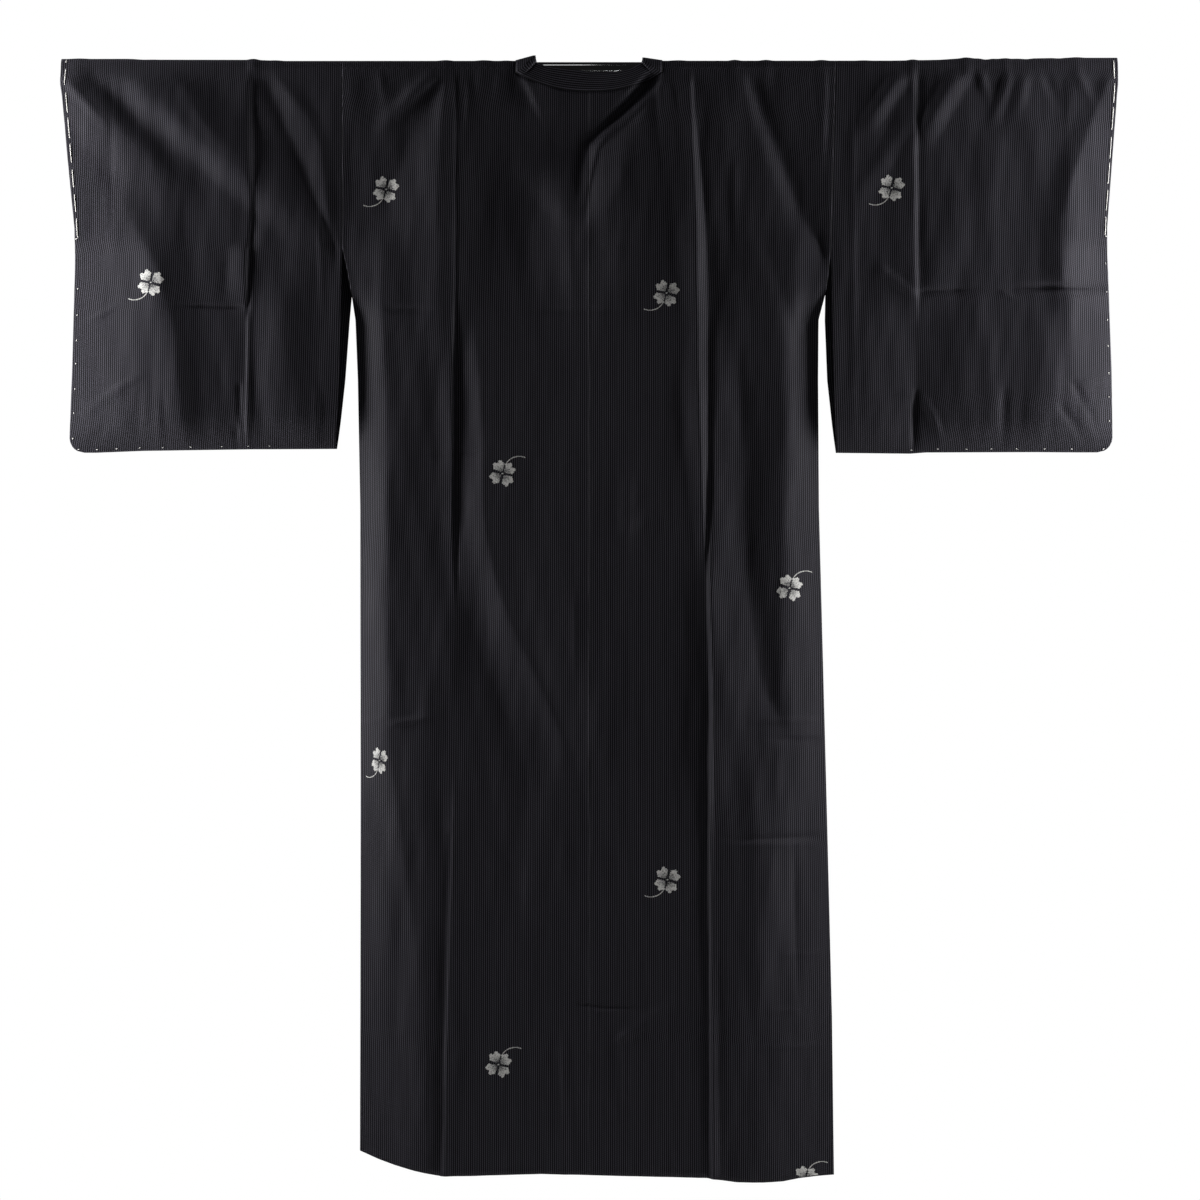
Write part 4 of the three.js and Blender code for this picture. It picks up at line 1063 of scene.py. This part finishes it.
def clover(x, drop, turn, squeeze, face):
    """Points, quads, thread shades and lengths of one clover on the back or the front."""
    edges = np.arange(-CLOVER_REACH, CLOVER_REACH + 0.1, THREAD_STEP)
    gx, gy = np.meshgrid(edges, edges)
    angle = math.radians(turn)
    p, q = gx + THREAD_STEP / 2, gy + THREAD_STEP / 2
    p, q = ((p * math.cos(angle) + q * math.sin(angle)) / squeeze,
            q * math.cos(angle) - p * math.sin(angle))
    chance = chances.random(p.shape)
    stem = near_stem(p, q)
    leaves = np.zeros(p.shape, bool)
    for leaf in LEAF_ANGLES:
        leaves |= in_leaf(p, q, math.radians(leaf))
    # towards the middle more and more crossings are left out
    leaves &= chance > 0.30 - 0.26 * smooth(4, 12, np.hypot(p, q))
    middle = (np.abs(p - 0.4) < 1.3) & (np.abs(q - 0.45 * p) < 0.6)
    shade = np.where(stem | middle, 0.8, leaf_shade(p, q, chance))
    hem = read_half(HEM, np.abs(x + gx), x + gx)
    inside = (leaves | stem | middle) & ((drop - gy) < hem - 1.0)
    row, column = np.nonzero(inside[:-1, :-1])
    number = np.arange(gx.size).reshape(gx.shape)
    quads = np.stack([number[row, column], number[row, column + 1],
                      number[row + 1, column + 1], number[row + 1, column]], axis=1)
    depth = sleeve_depth if abs(x) > SLEEVES_FROM else body_depth
    run = face * run_at(drop - gy)
    px = x - face * gx
    spots = hang(depth, px, run) + outward(depth, px, run) * (WALL / 2 + PATCH_LIFT)
    lengths = np.stack([px, run], axis=-1)
    return spots.reshape(-1, 3), quads, shade[row, column], lengths.reshape(-1, 2)


print("clovers:", len(CLOVERS_BACK["x"]), "on the back,", len(CLOVERS_FRONT["x"]), "on the front")

# %% Lay the clovers on the cloth
def clovers_on(name, rows, face, on_sleeve):
    """One mesh of those clovers of a table that lie on the sleeves, or on the body."""
    points, quads, shades, lengths, count = [], [], [], [], 0
    for values in zip(*rows.values()):
        if (abs(values[0]) > SLEEVES_FROM) != on_sleeve:
            continue
        spots, cells, shade, length = clover(*values, face)
        used, cells = np.unique(cells, return_inverse=True)
        points.append(spots[used])
        shades.append(shade)
        lengths.append(length[used])
        quads.append(cells.reshape(-1, 4) + count)
        count += len(used)
    piece = new_piece(name, np.concatenate(points), np.concatenate(quads).tolist())
    shade = piece.data.attributes.new("thread_shade", "FLOAT", "FACE")
    shade.data.foreach_set("value", np.concatenate(shades))
    store_lengths(piece.data, np.concatenate(lengths))
    add_wall(piece, PATCH_WALL)
    join(piece, SILVER)
    print(name, len(piece.data.polygons), "thread crossings")


for (side, face), rows in zip(FACES, (CLOVERS_BACK, CLOVERS_FRONT)):
    clovers_on(f"clovers_body_{side}", rows, face, on_sleeve=False)
    clovers_on(f"clovers_sleeves_{side}", rows, face, on_sleeve=True)

# %% [markdown]
# ## Basting thread
# A new or newly cleaned kimono still has white basting thread round its sleeves, long running
# stitches along the cuff opening and tiny ones round the sewn edges. Each stitch is a short
# tube that lies on the cloth and dives into it at both ends. A curve with a bevel would do,
# but one joined mesh of small tubes is lighter.

# %% White thread
STITCH_RADIUS = 0.42


def white_thread():
    """Matt white cotton, a little uneven."""
    material, tree, shader = new_material("white_thread", (0.78, 0.76, 0.73), 0.85)
    grain = noise(tree, object_place(tree), 1800.0, 1.0)
    colour = mix_colour(tree, grain, (0.62, 0.60, 0.57), (0.86, 0.85, 0.82))
    tree.links.new(colour, shader.inputs["Base Color"])
    bump(tree, grain, shader, 0.4, 0.2 * MM)
    return material


WHITE = white_thread()
print("white thread: made for tubes of", 2 * STITCH_RADIUS, "mm")

# %% Where the stitches lie
TUBE_SIDES = 6
LAST_STITCH = (1.5, 0.6)    # of the long ones: its length down, and its end from the edge
SMALL_STITCH = (2.4, 0.6)   # its length down the sleeve and outward
BOTTOM_STITCH = (2.6, 0.3)  # its length inward and upward
BOTTOM_INSET = 4.0
BASTING_INSET = table(
    "drop left right", (0, 6.4, 5.5), (60, 5.3, 3.6), (215, 3.8, 2.9), (300, 5.2, 3.4),
    (490, 4.6, 5.0))
LONG_STITCHES = {           # drops at which each long stitch starts and ends
    "left": ((1, 5), (11, 33), (41, 67), (72, 99), (104, 129), (137, 160), (168, 191), (198, 223)),
    "right": ((2, 24), (29, 55), (59, 88), (96, 124), (128, 156), (162, 190), (196, 220)),
}
SMALL_STITCHES = {
    "left": (285, 318, 350, 379, 411, 441, 473),
    "right": (253, 289, 324, 357, 391, 421, 451),
}
BOTTOM_STITCHES = {         # distances from the centre line
    "left": (642, 619, 594, 565, 536, 501, 462, 429, 402),
    "right": (647, 607, 573, 538, 506, 475, 439, 406),
}


print("long stitches:", {half: len(rows) for half, rows in LONG_STITCHES.items()})

# %% The tube of a stitch
def stitch(start, end, segments=8):
    """Rings of a tube on the cloth from start to end, each (x, run) in mm."""
    t = np.linspace(0, 1, segments + 1)
    x, run = mix(start[0], end[0], t), mix(start[1], end[1], t)
    from_end = np.clip(np.minimum(t, 1 - t) * segments, 0, 1)
    out = outward(sleeve_depth, x, run)
    dive = STITCH_RADIUS * (2 * from_end - 1.2)
    centre = hang(sleeve_depth, x, run) + out * (WALL / 2 + dive)[:, None]
    ahead = np.gradient(centre, axis=0)
    ahead /= np.linalg.norm(ahead, axis=1, keepdims=True)
    side = np.cross(ahead, out)[:, None]
    turn = np.linspace(0, 2 * math.pi, TUBE_SIDES, endpoint=False)[None, :, None]
    ring = np.cos(turn) * side + np.sin(turn) * out[:, None]
    return centre[:, None] + ring * STITCH_RADIUS


def tube_faces(rings, sides, first=0):
    """Quads between rings and the two end caps."""
    faces = []
    for r in range(rings - 1):
        for s in range(sides):
            a, b = first + r * sides + s, first + r * sides + (s + 1) % sides
            faces.append((a, b, b + sides, a + sides))
    faces.append(tuple(first + s for s in reversed(range(sides))))
    faces.append(tuple(first + (rings - 1) * sides + s for s in range(sides)))
    return faces


print("a stitch has", len(tube_faces(9, TUBE_SIDES)), "faces")

# %% Baste both sleeves
def stitches(name, ends):
    """One mesh of stitches, from a list of (start, end) places on a sleeve."""
    points, faces, count = [], [], 0
    for start, end in ends:
        rings = stitch(start, end)
        faces += tube_faces(len(rings), TUBE_SIDES, count)
        points.append(rings.reshape(-1, 3))
        count += len(points[-1])
    piece = new_piece(name, np.concatenate(points), faces)
    shade_smooth(piece.data, caps=True)
    join(piece, WHITE)
    print(name, len(ends), "stitches")


def basting(half, sign, face):
    """Where the basting of one sleeve goes in and out, as (x, run) pairs."""
    def place(drop, inset):
        return sign * (read(CUFF_EDGE, half, drop) - inset), face * run_at(drop)

    def inset(drop):
        return read(BASTING_INSET, half, drop)

    ends = [(place(a, inset(a)), place(b, inset(b))) for a, b in LONG_STITCHES[half]]
    last, (down, from_edge) = LONG_STITCHES[half][-1][1], LAST_STITCH
    ends.append((place(last, inset(last)), place(last + down, from_edge)))
    down, outward_by = SMALL_STITCH
    ends += [(place(a, inset(a)), place(a + down, inset(a) - outward_by))
             for a in SMALL_STITCHES[half]]
    inward_by, up = BOTTOM_STITCH
    for out in BOTTOM_STITCHES[half]:
        run = run_at(read(SLEEVE_BOTTOM, half, out) - BOTTOM_INSET)
        ends.append(((sign * out, face * run), (sign * (out - inward_by), face * (run - up))))
    return ends


for half, sign in HALVES:
    for side, face in FACES:
        stitches(f"basting_{half}_{side}", basting(half, sign, face))

# %% [markdown]
# ## The rod
# The rod is a polished chromed tube. The frame's rod has flat facets, which a mirror finish
# would show, so we turn a finer one of the same size with small chamfers and smooth shading.
# A trace of uneven roughness keeps the chrome from looking like a computer's.

# %% Rod
CHAMFER = 1.5
ROD_SIDES = 96


def chrome():
    """Polished metal with faint smudges and dents."""
    material, tree, shader = new_material("polished_chrome", (0.80, 0.81, 0.82), 0.08)
    shader.inputs["Metallic"].default_value = 1
    smudge = noise(tree, object_place(tree), 26.0, 3.0)
    tree.links.new(math_node(tree, "MULTIPLY_ADD", smudge, 0.06, 0.04), shader.inputs["Roughness"])
    bump(tree, noise(tree, object_place(tree), 240.0, 2.0), shader, 0.02, 0.05 * MM)
    return material


def rod():
    """A smooth round rod with chamfered ends."""
    half = ROD_LENGTH / 2
    middle = [(x, ROD_RADIUS) for x in even(-half + 40, half - 40, 120.0)]
    profile = [(-half, ROD_RADIUS - CHAMFER), (CHAMFER - half, ROD_RADIUS), *middle,
               (half - CHAMFER, ROD_RADIUS), (half, ROD_RADIUS - CHAMFER)]
    turn = np.linspace(0, 2 * math.pi, ROD_SIDES, endpoint=False)
    points = [(x, r * math.sin(t), r * math.cos(t)) for x, r in profile for t in turn]
    piece = new_piece("polished_rod", points, tube_faces(len(profile), ROD_SIDES))
    shade_smooth(piece.data)
    join(piece, chrome(), "rod")
    print("rod:", len(piece.data.polygons), "faces")


rod()

print("sheets declared: 7, and the body halves measure",
      [round(cloth_area(piece), 3) for piece in BODY.values()], "m2")

# %% [markdown]
# ## Room, light and camera
# Black cloth shows its folds only where light grazes it. Two tall soft boxes stand level with
# the coat, one beyond each sleeve, so every ridge catches light on the side it turns to, and
# the flat cloth between stays dark. The room itself is pale and gives a little fill. One more
# box stands before the coat's front, out of reach of the back that we see.

# %% Floor and room
FLOOR_DROP = 1750.0
FLOOR_RADIUS = 2000.0
FLOOR_SIDES = 96


def pale_floor():
    """A round floor below the hem."""
    turn = np.linspace(0, 2 * math.pi, FLOOR_SIDES, endpoint=False)
    points = [(FLOOR_RADIUS * math.cos(t), FLOOR_RADIUS * math.sin(t), -FLOOR_DROP) for t in turn]
    floor = new_piece("floor", points, [tuple(range(FLOOR_SIDES))])
    material, tree, shader = new_material("pale_floor", (0.82, 0.82, 0.81), 0.9)
    grain = noise(tree, object_place(tree), 3.0)
    colour = mix_colour(tree, grain, (0.80, 0.80, 0.79), (0.84, 0.84, 0.83))
    tree.links.new(colour, shader.inputs["Base Color"])
    floor.data.materials.append(material)


def pale_room(fill, seen):
    """A white room that lights the coat less than it shows, and the rod least."""
    world = bpy.data.worlds.new("room")
    bpy.context.scene.world = world
    world.use_nodes = True
    tree = world.node_tree
    light = tree.nodes["Background"]
    light.inputs["Color"].default_value = (1, 1, 1, 1)
    path = tree.nodes.new("ShaderNodeLightPath")
    strength = math_node(tree, "MULTIPLY_ADD", path.outputs["Is Camera Ray"], seen - fill, fill)
    unmirrored = math_node(tree, "MULTIPLY_ADD", path.outputs["Is Glossy Ray"], -0.85, 1.0)
    strength = math_node(tree, "MULTIPLY", strength, unmirrored)
    tree.links.new(strength, light.inputs["Strength"])


pale_floor()
pale_room(fill=0.05, seen=1.0)
print("floor:", FLOOR_DROP * MM, "m below the rod")


# %% Soft boxes
def soft_box(name, place, aim, width, height, power, lights_cloth=True, mirrored=True):
    """A rectangular lamp; it can be kept off the cloth or out of the rod's reflection."""
    light = bpy.data.lights.new(name, "AREA")
    light.shape = "RECTANGLE"
    light.size, light.size_y, light.energy = width, height, power
    lamp = bpy.data.objects.new(name, light)
    bpy.context.collection.objects.link(lamp)
    lamp.location = place
    lamp.rotation_euler = (Vector(aim) - Vector(place)).to_track_quat("-Z", "Y").to_euler()
    lamp.visible_camera = False
    lamp.visible_diffuse = lights_cloth
    lamp.visible_glossy = mirrored


LAMP_DROP = 0.39            # metres below the rod, of the two boxes beyond the sleeves
soft_box("beyond_left_sleeve", (-1.02, -0.11, -LAMP_DROP), (-0.3, 0.0, -LAMP_DROP), 0.24, 1.6, 22.0)
soft_box("beyond_right_sleeve", (1.04, -0.11, -LAMP_DROP), (0.3, 0.0, -LAMP_DROP), 0.24, 1.6, 21.0)
soft_box("behind_viewer", (0.0, -4.5, 1.6), (0.0, 0.0, -0.6), 3.0, 2.0, 5.0, mirrored=False)
soft_box("over_rod", (-0.5, -0.5, 1.6), (-0.5, 0.0, 0.0), 1.0, 0.3, 0.8, lights_cloth=False)
soft_box("below_rod", (0.35, -1.5, -0.45), (0.0, 0.0, 0.0), 0.6, 0.30, 1.9, lights_cloth=False)
soft_box("before_the_front", (1.3, 2.2, 0.2), (0.0, 0.0, -0.6), 1.0, 1.6, 60.0, mirrored=False)

# %% Camera
VIEW_WIDTH = 1.5072         # metres of the coat's plane that the camera sees across
VIEW_MIDDLE = (0.0138, -0.6655)
DISTANCE = 5.0
SENSOR = 36.0               # millimetres
camera = bpy.data.cameras.new("camera")
camera.sensor_width = SENSOR
camera.lens = SENSOR * DISTANCE / VIEW_WIDTH
camera.clip_end = 50.0
viewer = bpy.data.objects.new("camera", camera)
bpy.context.collection.objects.link(viewer)
viewer.location = (VIEW_MIDDLE[0], -DISTANCE, VIEW_MIDDLE[1])
viewer.rotation_euler = (math.pi / 2, 0, 0)
bpy.context.scene.camera = viewer
bpy.context.scene.view_settings.view_transform = "Standard"
print(f"camera: {camera.lens:.0f} mm lens at {DISTANCE:.1f} m")
